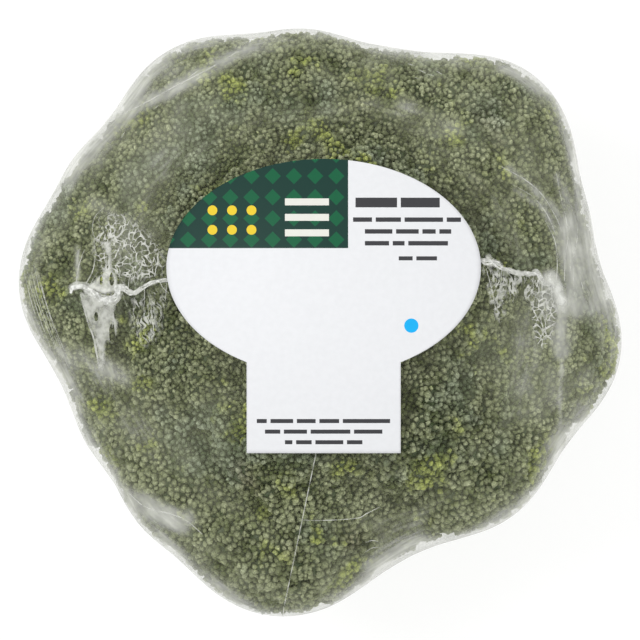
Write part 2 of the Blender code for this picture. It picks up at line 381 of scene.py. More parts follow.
# %% [markdown]
# The film squeezes the outer florets together, so that they fill its outline almost
# everywhere. Soft-body pressing could do that. A gentle push is enough: each point near
# the rim moves part of the way to the nearest film, and the moves are averaged over
# their neighbours, so that the tufts keep their shape.

# %% Press the outer florets out to the film
PRESS_REACH = (50 * MM, 60 * MM)
PRESS_HEIGHT = (34 * MM, 50 * MM)
PRESSES = 3
PRESS_ROUNDS = 5
TINY = 1e-6
PRESS_CLEARANCE = 1.0 * MM
PRESS_SHARE = 0.55
PRESS_LIMIT = 2.6 * MM

FILM_MIDDLE = Vector((0, 0, 60 * MM))
film_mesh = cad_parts["wrap_film"].data
cad_film = tree_of(vertex_array(film_mesh), film_mesh)
from_axis = np.hypot(*flesh_points[:, :2].T)
press = smooth_step(from_axis, *PRESS_REACH) * smooth_step(flesh_points[:, 2], *PRESS_HEIGHT)


def way_to_film(points, weights):
    """For each point with a weight: the step to the nearest film, and its length."""
    steps = np.zeros_like(points)
    for index in np.nonzero(weights)[0]:
        steps[index] = np.array(cad_film.find_nearest(Vector(points[index]))[0]) - points[index]
    return steps, np.linalg.norm(steps, axis=1)


unpressed = flesh_points
for _ in range(PRESSES):
    steps, lengths = way_to_film(flesh_points, press)
    wanted = np.clip((lengths - PRESS_CLEARANCE) * PRESS_SHARE, 0, PRESS_LIMIT) * press
    moves = steps / np.maximum(lengths, TINY)[:, None] * wanted[:, None]
    flesh_points = flesh_points + spread_out(flesh.data, moves, PRESS_ROUNDS)
steps, lengths = way_to_film(flesh_points, press)
back = np.clip(PRESS_CLEARANCE - lengths, 0, None) * press
flesh_points -= steps / np.maximum(lengths, TINY)[:, None] * back[:, None]
move_points(flesh.data, flesh_points)
moved = np.linalg.norm(flesh_points - unpressed, axis=1)
print("The rim moved out by up to", round(moved.max() / MM, 1), "mm")

# %% [markdown]
# Buds cover only the outside of the florets. A spot is outside if its surface, seen
# broadly, faces away from the fork of the stalk and lies far enough from it. The broad
# direction is the surface's normal averaged over its surroundings, so that one steep tuft
# doesn't fool it.

# %% Find where buds grow
FORK = np.array([0, 0, 40 * MM])
BROAD_ROUNDS = 14
COVER_FACING = (-0.05, 0.12)
COVER_REACH = (35 * MM, 38 * MM)
COVER_HEIGHT = (36 * MM, 42 * MM)

broad = spread_out(flesh.data, vertex_array(flesh.data, "normal"), BROAD_ROUNDS)
broad /= np.linalg.norm(broad, axis=1, keepdims=True) + 1e-9
away = flesh_points - FORK
reach = np.linalg.norm(away, axis=1)
facing = (broad * away).sum(axis=1) / reach
cover = smooth_step(facing, *COVER_FACING) * smooth_step(reach, *COVER_REACH)
cover *= smooth_step(flesh_points[:, 2], *COVER_HEIGHT)
cover_layer = flesh.data.attributes.new("cover", "FLOAT", "POINT")
cover_layer.data.foreach_set("value", cover)
print("Buds cover", round(100 * float(cover.mean())), "% of the head's points")

# %% [markdown]
# Within a tuft the buds stand in little bunches, each some five millimetres across, with
# dark clefts between them. Cells of a Voronoi pattern have just such borders, so the
# flesh sinks wherever the two nearest cell centres are almost equally near. A slow noise
# bends the cells, so that their borders aren't straight.

# %% Part the tufts into bunches
BUNCH_SIZE = 5.4 * MM
CLEFT_DEPTH = 2.4 * MM
CLEFT_SHARE = 0.40
BEND_SIZE = 4 * MM
BEND_REACH = 1.2 * MM


def bunch_depth(point, size):
    """0 in the middle of a bunch, 1 at the bottom of a cleft."""
    nearest = noise.voronoi(Vector(point) / size)[0]
    return 1 - smooth_step(nearest[1] - nearest[0], 0, CLEFT_SHARE)


bend = np.stack([rough_at(flesh_points, BEND_SIZE, shift) for shift in (0, 7, 19)], axis=1) * BEND_REACH
clefts = np.array([bunch_depth(point, BUNCH_SIZE) for point in flesh_points + bend])
flesh_points = flesh_points - vertex_array(flesh.data, "normal") * (clefts * cover * CLEFT_DEPTH)[:, None]
move_points(flesh.data, flesh_points)
cleft_share = (clefts * cover > 0.5).sum() / (cover > 0.5).sum()
print("The clefts cover", round(100 * float(cleft_share)), "% of it")

# %% [markdown]
# Under the buds the flesh is its own dark green, painted almost black as painted shade
# for the deep gaps between the buds, and it pales to a fresh green down the branches.
# Both could be painted into an image. The cover that was just measured already says
# which is where, and one noise mottles either colour, while a finer one roughens the surface.

# %% Colour the flesh
BRANCH_GREENS = ((0.20, 0.33, 0.10, 1), (0.42, 0.52, 0.24, 1))
# Near-black greens under the buds: the flesh's own dark green, darkened further as painted shade for the gaps
# between buds.
UNDER_BUD_SHADE_GREENS = ((0.014, 0.026, 0.005, 1), (0.050, 0.078, 0.018, 1))

finish, tree, shader = new_finish("flesh", (0.2, 0.3, 0.1), 0.55)
covered = add(tree, "ShaderNodeAttribute", {"attribute_name": "cover"}).outputs["Fac"]
mottle = grain(tree, 260, 4)
branch = blend_colour(tree, mottle, *BRANCH_GREENS)
under_bud_shade = blend_colour(tree, mottle, *UNDER_BUD_SHADE_GREENS)
# Where buds cover the flesh it takes the painted-shade greens.
colour = blend_colour(tree, ease(tree, covered, 0.15, 0.65), branch, under_bud_shade)
tree.links.new(colour, shader.inputs["Base Color"])
bump(tree, shader, grain(tree, 900, 3), 0.0004, 0.5)
dress(flesh, finish)
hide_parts("broccoli_head")
print("The flesh stands in for the model's head")

# %% [markdown]
# ## Buds
#
# A head carries tens of thousands of closed flower buds, each about a millimetre and a
# half across. They could be instanced with Geometry Nodes. Here they are placed by dart
# throwing in numpy, which shows how the even but patternless packing comes about: a
# candidate spot is kept only if no bud already stands too close. Each bud is a small
# six-sided dome, closed underneath and sunk into the flesh.

# %% Let the buds' size vary
FRONT_GROWTH = 0.18
FRONT_REACH = (-5 * MM, 50 * MM)
PATCH_GROWTH = 0.14
PATCH_SIZE = 24 * MM
SMALLEST, BIGGEST = 0.8, 1.5


def bud_scale(points):
    """Buds are larger at the front of the head, and vary from place to place."""
    front = FRONT_GROWTH * smooth_step(-points[:, 1], *FRONT_REACH)
    return (1 + front + PATCH_GROWTH * rough_at(points, PATCH_SIZE)).clip(SMALLEST, BIGGEST)


print("Buds are", SMALLEST, "to", BIGGEST, "times their usual size")

# %% Throw darts at a mesh
PACKED_AREA = 0.866


def random_spots(mesh, points, weights, spacing, wanted):
    """Random spots on a mesh, with the corners that hold them, their shares and the area."""
    mesh.calc_loop_triangles()
    corners = np.zeros(len(mesh.loop_triangles) * 3, int)
    mesh.loop_triangles.foreach_get("vertices", corners)
    corners = corners.reshape(-1, 3)
    a, b, c = (points[corners[:, k]] for k in range(3))
    area = np.linalg.norm(np.cross(b - a, c - a), axis=1) / 2 * weights[corners].mean(axis=1)
    total = area.sum()
    count = int(wanted * total / (spacing**2 * PACKED_AREA))
    picks = draw.choice(len(area), count, p=area / total)
    u, v = draw.random((2, count))
    flip = u + v > 1
    u[flip], v[flip] = 1 - u[flip], 1 - v[flip]
    spots = a[picks] + (b - a)[picks] * u[:, None] + (c - a)[picks] * v[:, None]
    shares = np.stack([1 - u - v, u, v], axis=1)
    return spots, corners[picks], shares, total


print("Darts can be thrown")

# %% Keep those that land well apart
NEAR_CELLS = [(i, j, k) for i in (-1, 0, 1) for j in (-1, 0, 1) for k in (-1, 0, 1)]


def too_close(spot, cell, kept, limit):
    """True if a kept spot lies nearer than the limit, which is a squared distance."""
    x, y, z = cell
    for i, j, k in NEAR_CELLS:
        for other in kept.get((x + i, y + j, z + k), ()):
            gap = (spot[0] - other[0])**2 + (spot[1] - other[1])**2 + (spot[2] - other[2])**2
            if gap < limit:
                return True
    return False


def well_apart(spots, spacing):
    """Which spots are kept, in their order: those too close to none kept before."""
    cells = np.floor(spots / (spacing * BIGGEST)).astype(int)
    limits = (spacing * bud_scale(spots))**2
    kept = {}
    chosen = []
    for index, (cell, spot, limit) in enumerate(zip(cells.tolist(), spots.tolist(), limits.tolist())):
        if not too_close(spot, cell, kept, limit):
            kept.setdefault(tuple(cell), []).append(spot)
            chosen.append(index)
    return chosen


print("A new dart is checked against those in", len(NEAR_CELLS), "cells")

# %% Throw them at the head
BUD_GAP = 0.92 * MM
DARTS_PER_BUD = 5

normals = vertex_array(flesh.data, "normal")
bears_buds = (cover > 0.5).astype(float)
spots, held_by, shares, bud_area = random_spots(flesh.data, flesh_points, bears_buds, BUD_GAP, DARTS_PER_BUD)
chosen = well_apart(spots, BUD_GAP)
spots, held_by, shares = spots[chosen], held_by[chosen], shares[chosen]
facing_out = (normals[held_by] * shares[:, :, None]).sum(axis=1)
facing_out /= np.linalg.norm(facing_out, axis=1, keepdims=True)
in_cleft = (clefts[held_by] * shares).sum(axis=1)
print(len(spots), "buds on", round(bud_area * 1e4), "square centimetres")

# %% [markdown]
# Each bud gets its own size and a little lean. Three numbers go with it for the finish:
# its tone, where it is on the dome (tip or side), and a place of its own on the texture
# sheet, so that the exported model keeps one colour for every bud.

# %% Shape one bud
BUD_SIDES = 6
BUD_RINGS = ((42, 0.0), (97, 0.5))
BUD_STRETCH = 1.20


def bud_pattern():
    """One bud of radius 1 that looks up: points, faces, and how far down each point is."""
    points = [(0, 0, BUD_STRETCH)]
    down = [0.0]
    for polar, twist in BUD_RINGS:
        for side in range(BUD_SIDES):
            turn = math.tau * (side + twist) / BUD_SIDES
            lean = math.radians(polar)
            points.append((math.sin(lean) * math.cos(turn), math.sin(lean) * math.sin(turn),
                           math.cos(lean) * BUD_STRETCH))
            down.append(polar / BUD_RINGS[-1][0])
    faces = []
    for side in range(BUD_SIDES):
        after = (side + 1) % BUD_SIDES
        upper, upper_after = 1 + side, 1 + after
        lower, lower_after = 1 + BUD_SIDES + side, 1 + BUD_SIDES + after
        faces.append((0, upper, upper_after))
        faces.append((upper, lower, upper_after))
        faces.append((upper_after, lower, lower_after))
    faces.append(tuple(range(2 * BUD_SIDES, BUD_SIDES, -1)))
    return np.array(points), faces, np.array(down)


print("A bud has", len(bud_pattern()[0]), "points")

# %% Turn each bud its own way
def frames_for(axes, turns):
    """A right-handed frame for each axis, turned round it by its own angle."""
    aside = np.where(np.abs(axes[:, 2:]) < 0.9, [[0.0, 0.0, 1.0]], [[1.0, 0.0, 0.0]])
    first = np.cross(aside, axes)
    first /= np.linalg.norm(first, axis=1, keepdims=True)
    second = np.cross(axes, first)
    c, s = np.cos(turns)[:, None], np.sin(turns)[:, None]
    return first * c + second * s, second * c - first * s


print("Buds can be turned")

# %% Give each bud its square on the texture sheet
SHEET_REACH = 0.42
SHEET_CORNER = 0.02


def lay_out_buds(mesh, count, pattern, faces, down):
    """Gives each bud its own square on the texture sheet, seen from its tip."""
    across = math.ceil(math.sqrt(count))
    turn = np.arctan2(pattern[:, 1], pattern[:, 0])
    flat = np.stack([np.cos(turn), np.sin(turn)], axis=1) * down[:, None] * SHEET_REACH + 0.5
    underside = [[SHEET_CORNER, SHEET_CORNER]] * BUD_SIDES
    corners = np.array([flat[k] for face in faces[:-1] for k in face] + underside)
    cells = np.arange(count)
    origins = np.stack([cells % across, cells // across], axis=1)
    sheet = (origins[:, None] + corners[None]) / across
    mesh.uv_layers.new(name="OFBake").data.foreach_set("uv", sheet.ravel())


print("Buds can be laid out on a sheet")

# %% Grow a piece of buds
BUD_LIFT = 0.25
BUD_UNEVEN = 0.14
BUD_WARP = 0.12


def grow_buds(name, places, axes, radii, tones, finish):
    """One piece with a bud at every place."""
    pattern, faces, down = bud_pattern()
    first, second = frames_for(axes, draw.random(len(places)) * math.tau)
    own = pattern[None] + BUD_UNEVEN * draw.standard_normal((len(places), *pattern.shape)).clip(-2, 2)
    own = own * (1 + BUD_WARP * draw.standard_normal((len(places), 1, 3)).clip(-1.6, 1.6)) + [0, 0, BUD_LIFT]
    points = places[:, None] + radii[:, None, None] * (
        own[:, :, :1] * first[:, None] + own[:, :, 1:2] * second[:, None] + own[:, :, 2:] * axes[:, None]
    )
    each = len(pattern)
    starts = np.arange(len(places)) * each
    all_faces = [tuple(start + corner for corner in face) for start in starts.tolist() for face in faces]
    obj = piece_of(name, points.reshape(-1, 3), all_faces, finish)
    mesh = obj.data
    layer = mesh.attributes.new("tone", "FLOAT", "POINT")
    layer.data.foreach_set("value", np.repeat(tones, each))
    layer = mesh.attributes.new("down", "FLOAT", "POINT")
    layer.data.foreach_set("value", np.tile(down, len(places)))
    lay_out_buds(mesh, len(places), pattern, faces, down)
    return obj


print("A piece of buds can be grown")

# %% [markdown]
# A bud is waxy and grey-green at the tip and deeper green down its side, and its side is
# darkened further as painted shade, where the buds crowd one another. Whole patches of
# a head lean to yellow-green where buds are about to open, others to blue-green, and a few
# have a russet blush, so three broad noises tint the tones over centimetres. An image of
# a head would carry such tints too, but noise has no seams and needs no unwrapping.

# %% Colour the buds
PLAIN_GREENS = ((0.080, 0.102, 0.026, 1), (0.415, 0.448, 0.264, 1))
RIPE_GREENS = ((0.105, 0.140, 0.012, 1), (0.430, 0.485, 0.120, 1))
COOL_GREENS = ((0.066, 0.096, 0.036, 1), (0.350, 0.400, 0.280, 1))
RUSSETS = ((0.085, 0.068, 0.034, 1), (0.330, 0.300, 0.200, 1))

bud_finish, tree, shader = new_finish("bud_skin", (0.1, 0.13, 0.06), 0.58)


def moved_grain(scale, detail, shift):
    """Noise that is moved aside, so that no two broad patterns match."""
    coords = add(tree, "ShaderNodeTexCoord").outputs["Object"]
    moved_coords = add(tree, "ShaderNodeMapping", Vector=coords, Location=shift).outputs[0]
    return grain(tree, scale, detail, moved_coords)


tone = add(tree, "ShaderNodeAttribute", {"attribute_name": "tone"}).outputs["Fac"]
down = add(tree, "ShaderNodeAttribute", {"attribute_name": "down"}).outputs["Fac"]
plain = blend_colour(tree, tone, *PLAIN_GREENS)
ripe = blend_colour(tree, tone, *RIPE_GREENS)
cool = blend_colour(tree, tone, *COOL_GREENS)
russet = blend_colour(tree, tone, *RUSSETS)
riper = math_node(tree, "ADD", grain(tree, 75, 2), math_node(tree, "MULTIPLY", tone, 0.10))
ripeness = ease(tree, riper, 0.60, 0.72)
coolness = ease(tree, moved_grain(48, 2, (3.0, 1.0, 2.0)), 0.52, 0.66)
blush = ease(tree, moved_grain(42, 3, (7.0, 4.0, 1.0)), 0.60, 0.76, 0.0, 0.6)
colour = blend_colour(tree, coolness, plain, cool)
colour = blend_colour(tree, ripeness, colour, ripe)
colour = blend_colour(tree, blush, colour, russet)
speckle = math_node(tree, "MULTIPLY", ease(tree, grain(tree, 2400, 2), 0.32, 0.68, 0.66, 1.32),
                    ease(tree, grain(tree, 4600, 1), 0.32, 0.68, 0.70, 1.28))
# Each bud darkens towards its foot: partly its own deeper green, partly painted shade where the buds crowd
# one another. The speckle mottles it at random.
side_shade_and_speckle = math_node(tree, "MULTIPLY", ease(tree, down, 0.20, 1.0, 1.0, 0.56), speckle)
tree.links.new(shaded(tree, colour, side_shade_and_speckle), shader.inputs["Base Color"])
shader.inputs["Specular IOR Level"].default_value = 0.35
bump(tree, shader, grain(tree, 5200, 2), 0.00012, 0.6)
print("Bud skin has", len(tree.nodes), "nodes")

# %% Give each bud a size, a tone and a lean
BUD_RADIUS = 0.74 * MM
SIZE_SPREAD = 0.15
TONE_MIDDLE = 0.62
TONE_SPREAD = 0.11
# Buds in a cleft get a darker tone: partly their own greener colour, partly painted shade for the cleft.
CLEFT_TONE_AND_SHADE = 0.46
TONE_PATCHES = ((0.34, 4.6 * MM, 8.0), (0.26, 2.2 * MM, 15.0))
LEAN_SPREAD = 0.26

sizes = bud_scale(spots) * (1 + SIZE_SPREAD * draw.standard_normal(len(spots)).clip(-2, 2))
patchy = sum(strength * rough_at(spots, size, shift) for strength, size, shift in TONE_PATCHES)
# The cleft lowers the tone: partly the buds' own colour, partly painted shade.
tones = TONE_MIDDLE - CLEFT_TONE_AND_SHADE * in_cleft + patchy + TONE_SPREAD * draw.standard_normal(len(spots))
tones = tones.clip(0, 1)
lean = facing_out + LEAN_SPREAD * draw.standard_normal(facing_out.shape)
lean /= np.linalg.norm(lean, axis=1, keepdims=True)
print("A bud is", round(2 * BUD_RADIUS * sizes.mean() / MM, 2), "mm across on average")

# %% [markdown]
# Buds that touch the film lie pressed against it. They could be squashed one by one, but
# it is enough to set each of them deeper into the flesh, until both its tip and its sides
# are under the film.

# %% Set the buds under the film and grow them
BUD_CLEARANCE = 0.5 * MM
BUDS_PER_PIECE = 8500

tips = spots + facing_out * (BUD_RADIUS * sizes * BUD_STRETCH)[:, None]
nearest = [cad_film.find_nearest(Vector(tip)) for tip in tips]
gaps = np.array([found[3] for found in nearest])
past = np.array([(Vector(tip) - found[0]).dot(Vector(tip) - FILM_MIDDLE) > 0
                 for tip, found in zip(tips, nearest)])
depths = np.array([cad_film.find_nearest(Vector(spot))[3] for spot in spots])
sink = np.maximum(np.where(past, gaps, -gaps), BUD_RADIUS * sizes - depths) + BUD_CLEARANCE
spots = spots - facing_out * np.clip(sink, 0, 2 * BUD_RADIUS)[:, None]
order = np.argsort(np.arctan2(spots[:, 1], spots[:, 0]))
for number, members in enumerate(np.array_split(order, math.ceil(len(order) / BUDS_PER_PIECE))):
    grow_buds(f"buds_{number}", spots[members], lean[members], BUD_RADIUS * sizes[members],
              tones[members], bud_finish)
    print("Piece", number, "holds", len(members), "buds")

# %% [markdown]
# ## Stalk
#
# From the side the head stands on a stout stalk with soft ribs, fine fibres along it and
# the scars of trimmed leaves, and below it shows its cut face with a paler ring. The
# stalk's radius is read off the model by casting rays out from its axis, so the new skin
# lies just outside the model's own, and the relief is added to it.

# %% Measure the stalk
USUAL_RADIUS = 19 * MM

head_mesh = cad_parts["broccoli_head"].data
head_skin = tree_of(vertex_array(head_mesh), head_mesh)


def stalk_radius(turn, height):
    """How far the model's stalk reaches from its axis, at a turn and a height."""
    out = Vector((math.cos(turn), math.sin(turn), 0))
    found = head_skin.ray_cast(Vector((0, 0, height)), out)
    return found[3] or USUAL_RADIUS


print("At its foot the stalk reaches", round(stalk_radius(0.0, 5 * MM) / MM, 1), "mm from its axis")

# %% Shape the stalk's relief
STALK_TOP = 36 * MM
STALK_TUCK = 5 * MM
STALK_SUNK = 1.2 * MM
SKIN_LIFT = 0.12 * MM
LEAF_SCARS = ((0.6, 13), (2.3, 22), (3.9, 17), (5.2, 27))
# A scar's ridge and groove: height, how far up it lies, thickness and half width in mm.
SCAR_SHAPES = ((0.42, 0.0, 0.8, 5.5), (-0.22, 1.9, 1.2, 4.8))
SCAR_RADIUS = 21
# Fibres: how fast they change round the stalk and along it, and their height in mm.
FIBRES = ((14, 60, 0.20), (40, 90, 0.09))


def scar_relief(turn, height):
    """A raised crescent where a leaf was cut away."""
    relief = 0.0
    for scar_turn, scar_height in LEAF_SCARS:
        across = math.remainder(turn - scar_turn, math.tau) * SCAR_RADIUS
        rise = height / MM - scar_height - 0.10 * across**2 * 0.5
        for high, above, thick, wide in SCAR_SHAPES:
            relief += high * math.exp(-((rise - above) / thick)**2) * math.exp(-(across / wide)**4)
    return relief * MM


def stalk_point(turn, height):
    x, y = math.cos(turn), math.sin(turn)
    fibres = sum(high * noise.noise(Vector((x * around, y * around, height * along)))
                 for around, along, high in FIBRES)
    sunk = STALK_SUNK * float(smooth_step(height, STALK_TOP - STALK_TUCK, STALK_TOP))
    wide = stalk_radius(turn, height) + SKIN_LIFT + fibres * MM
    wide += scar_relief(turn, height) - sunk
    return (wide * x, wide * y, height)


print("The skin carries", len(LEAF_SCARS), "leaf scars")

# %% Build the stalk's wall
STALK_TURNS = 180
STALK_LEVELS = 60
STALK_FOOT = 0.6 * MM

stalk_points, stalk_faces = [], []
turns = [math.tau * step / STALK_TURNS for step in range(STALK_TURNS)]
for level in range(STALK_LEVELS):
    share = level / (STALK_LEVELS - 1)
    height = STALK_FOOT + (STALK_TOP - STALK_FOOT) * share
    stalk_points += [stalk_point(turn, height) for turn in turns]
wall = STALK_LEVELS * STALK_TURNS
for level in range(STALK_LEVELS - 1):
    for step in range(STALK_TURNS):
        a, b = level * STALK_TURNS + step, level * STALK_TURNS + (step + 1) % STALK_TURNS
        stalk_faces.append((a, b, b + STALK_TURNS, a + STALK_TURNS))
print("The wall has", len(stalk_faces), "faces")

# %% Close the cut face and the top
CUT_RINGS = 14
CUT_DIP = 0.35 * MM
CUT_RIM = 0.25 * MM
CUT_INSET = 0.985

edge = np.array(stalk_points[:STALK_TURNS])
for ring in range(CUT_RINGS):
    share = 1 - ring / CUT_RINGS
    for x, y, _ in edge:
        dip = CUT_DIP * (1 - share**3) * (0.6 + 0.4 * noise.noise(Vector((x, y, 0)) * 500))
        rim = CUT_RIM * share**24
        stalk_points.append((x * share * CUT_INSET, y * share * CUT_INSET, dip + rim))
    above = 0 if ring == 0 else wall + (ring - 1) * STALK_TURNS
    for step in range(STALK_TURNS):
        after = (step + 1) % STALK_TURNS
        here = wall + ring * STALK_TURNS
        stalk_faces.append((above + after, above + step, here + step, here + after))
middle = len(stalk_points)
stalk_points.append((0, 0, 0.3 * MM))
last = wall + (CUT_RINGS - 1) * STALK_TURNS
stalk_faces += [(last + (step + 1) % STALK_TURNS, last + step, middle) for step in range(STALK_TURNS)]
top = len(stalk_points)
stalk_points.append((0, 0, STALK_TOP))
upper = (STALK_LEVELS - 1) * STALK_TURNS
stalk_faces += [(upper + step, upper + (step + 1) % STALK_TURNS, top) for step in range(STALK_TURNS)]
print("The stalk's skin has", len(stalk_faces), "faces")

# %% [markdown]
# The skin is pale green with darker fibres along it. The cut face is paler, with a green
# ring under the skin and a dried brown rim. Two materials could meet at the edge. One
# material that blends by height keeps the border soft.

# %% Colour the stalk
SKIN_GREENS = ((0.20, 0.33, 0.10, 1), (0.45, 0.55, 0.27, 1))
PITH_GREENS = ((0.50, 0.58, 0.30, 1), (0.68, 0.72, 0.48, 1))
RING_GREEN = (0.36, 0.46, 0.17, 1)
DRY_BROWN = (0.35, 0.28, 0.13, 1)
RING_INSIDE = (11.8 * MM, 14.0 * MM)
RING_OUTSIDE = (14.6 * MM, 16.6 * MM)
DRY_RIM = (18.5 * MM, 21.5 * MM)
CUT_HEIGHT = (0.4 * MM, 1.0 * MM)

finish, tree, shader = new_finish("stalk_skin", (0.35, 0.45, 0.18), 0.5)
coords = add(tree, "ShaderNodeTexCoord").outputs["Object"]
x, y, z = add(tree, "ShaderNodeSeparateXYZ", Vector=coords).outputs
stretched = add(tree, "ShaderNodeMapping", Vector=coords, Scale=(900, 900, 60)).outputs[0]
long_fibres = grain(tree, 1.0, 4, stretched)
skin = blend_colour(tree, ease(tree, long_fibres, 0.3, 0.7), *SKIN_GREENS)
squares = [math_node(tree, "MULTIPLY", side, side) for side in (x, y)]
from_core = math_node(tree, "SQRT", math_node(tree, "ADD", *squares))
pith = blend_colour(tree, grain(tree, 1300, 4), *PITH_GREENS)
ring_edges = [ease(tree, from_core, *edge) for edge in (RING_INSIDE, RING_OUTSIDE)]
ring_band = math_node(tree, "SUBTRACT", *ring_edges)
cut = blend_colour(tree, ring_band, pith, RING_GREEN)
ragged = math_node(tree, "ADD", from_core, math_node(tree, "MULTIPLY", grain(tree, 400), 4 * MM))
cut = blend_colour(tree, ease(tree, ragged, *DRY_RIM), cut, DRY_BROWN)
low = ease(tree, z, *CUT_HEIGHT)
tree.links.new(blend_colour(tree, low, cut, skin), shader.inputs["Base Color"])
bump(tree, shader, long_fibres, 0.0003, 0.6)
piece_of("stalk_skin", stalk_points, stalk_faces, finish)
print("The stalk reaches up to", round(STALK_TOP / MM), "mm")

# %% [markdown]
# ## Film
#
# Shrink film is one taut, very thin sheet. Cloth simulation could draw it over the
# florets, but the model's film was already pulled taut, net point by net point, and only
# its faces are coarse. So the lesson takes the outside of that film, subdivides it, and
# adds what shrinking leaves behind: fine ridges where it bridges a hollow, and pleats
# where it is gathered round the stalk.

# %% Take the outside of the model's film and refine it
RIM_BAND = 5.5 * MM
FINE_ABOVE = 48 * MM


def inner_or_rim(face):
    """True for the film's inner face and for the narrow band along its lower edge."""
    seen_from = face.calc_center_median() - FILM_MIDDLE
    return face.normal.dot(seen_from) < 0 or max(v.co.z for v in face.verts) < RIM_BAND


film = welded(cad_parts["wrap_film"], "shrink_film", drop=inner_or_rim)
film = with_modifier(film, "SUBSURF", levels=2, render_levels=2)
bm = bmesh.new()
bm.from_mesh(film.data)
fine = [e for e in bm.edges if min(v.co.z for v in e.verts) > FINE_ABOVE]
bmesh.ops.subdivide_edges(bm, edges=fine, cuts=1, use_grid_fill=True)
bmesh.ops.recalc_face_normals(bm, faces=bm.faces)
bm.to_mesh(film.data)
bm.free()
film_points = spread_out(film.data, vertex_array(film.data), 2)
move_points(film.data, film_points)
print("The film has", len(film.data.polygons), "faces")

# %% [markdown]
# How far the film stands off the head decides how it looks: where it touches it is nearly
# clear, and where it bridges a hollow it turns milky. That distance is measured at every
# point of the film and kept with it. A second value gives each point a place along and
# across the pull, so that streaks can run round the head, as the film was drawn.

# %% Measure how far the film stands off
PULL_AROUND = 4.6
PULL_DOWN = 24
OUTWARD_REACH = (44 * MM, 64 * MM)
BRIDGE_GAPS = (3.0 * MM, 7.6 * MM)

flesh_tree = tree_of(flesh_points, flesh.data)
standoff = np.array([flesh_tree.find_nearest(Vector(p))[3] for p in film_points])
from_middle = film_points - np.array(FILM_MIDDLE)
azimuth = np.arctan2(from_middle[:, 1], from_middle[:, 0])
polar = np.arctan2(np.hypot(from_middle[:, 0], from_middle[:, 1]), from_middle[:, 2])
pull = np.stack([np.cos(azimuth) * PULL_AROUND, np.sin(azimuth) * PULL_AROUND, polar * PULL_DOWN], axis=1)
from_axis = np.hypot(film_points[:, 0], film_points[:, 1])
outward = smooth_step(from_axis, *OUTWARD_REACH)
bridging = smooth_step(standoff, *BRIDGE_GAPS) * (0.15 + 0.85 * outward)
print("The film stands off by up to", round(standoff.max() / MM, 1), "mm")

# %% [markdown]
# Shrinking leaves sharp little ridges along the pull, and the gathered end falls into
# pleats round the stalk. A bump map could fake both, but they show at the outline, so
# real points are moved: ridged noise that is stretched along the pull makes the creases,
# and a wave round the axis makes the pleats.

# %% Crease and pleat it
CREASE_HEIGHT = 0.30 * MM
PLEAT_HEIGHT = 1.5 * MM
PLEATS = 34
GATHER_REACH = (24 * MM, 52 * MM)
GATHER_HEIGHT = (40 * MM, 52 * MM)

film_normals = vertex_array(film.data, "normal")
creases = np.array([noise.ridged_multi_fractal(Vector(p), 1.0, 2.1, 3, 1.0, 2.0) for p in pull])
creases = smooth_step(creases, 1.0, 2.2)
crease_rise = CREASE_HEIGHT * creases * bridging
gathered = 1 - smooth_step(from_axis, *GATHER_REACH)
gathered *= 1 - smooth_step(film_points[:, 2], *GATHER_HEIGHT)
wander = rough_at(film_points, 22 * MM, 5.0) * 1.6
pleats = 0.5 + 0.5 * np.cos(azimuth * PLEATS + wander * 2)
pleat_rise = PLEAT_HEIGHT * gathered * pleats**2 * (0.6 + 0.4 * rough_at(film_points, 9 * MM, 2.0))
film_points = film_points + film_normals * (crease_rise + pleat_rise)[:, None]
move_points(film.data, film_points)
film_tree = tree_of(film_points, film.data)
print("Creases and pleats rise by up to", round((crease_rise + pleat_rise).max() / MM, 1), "mm")
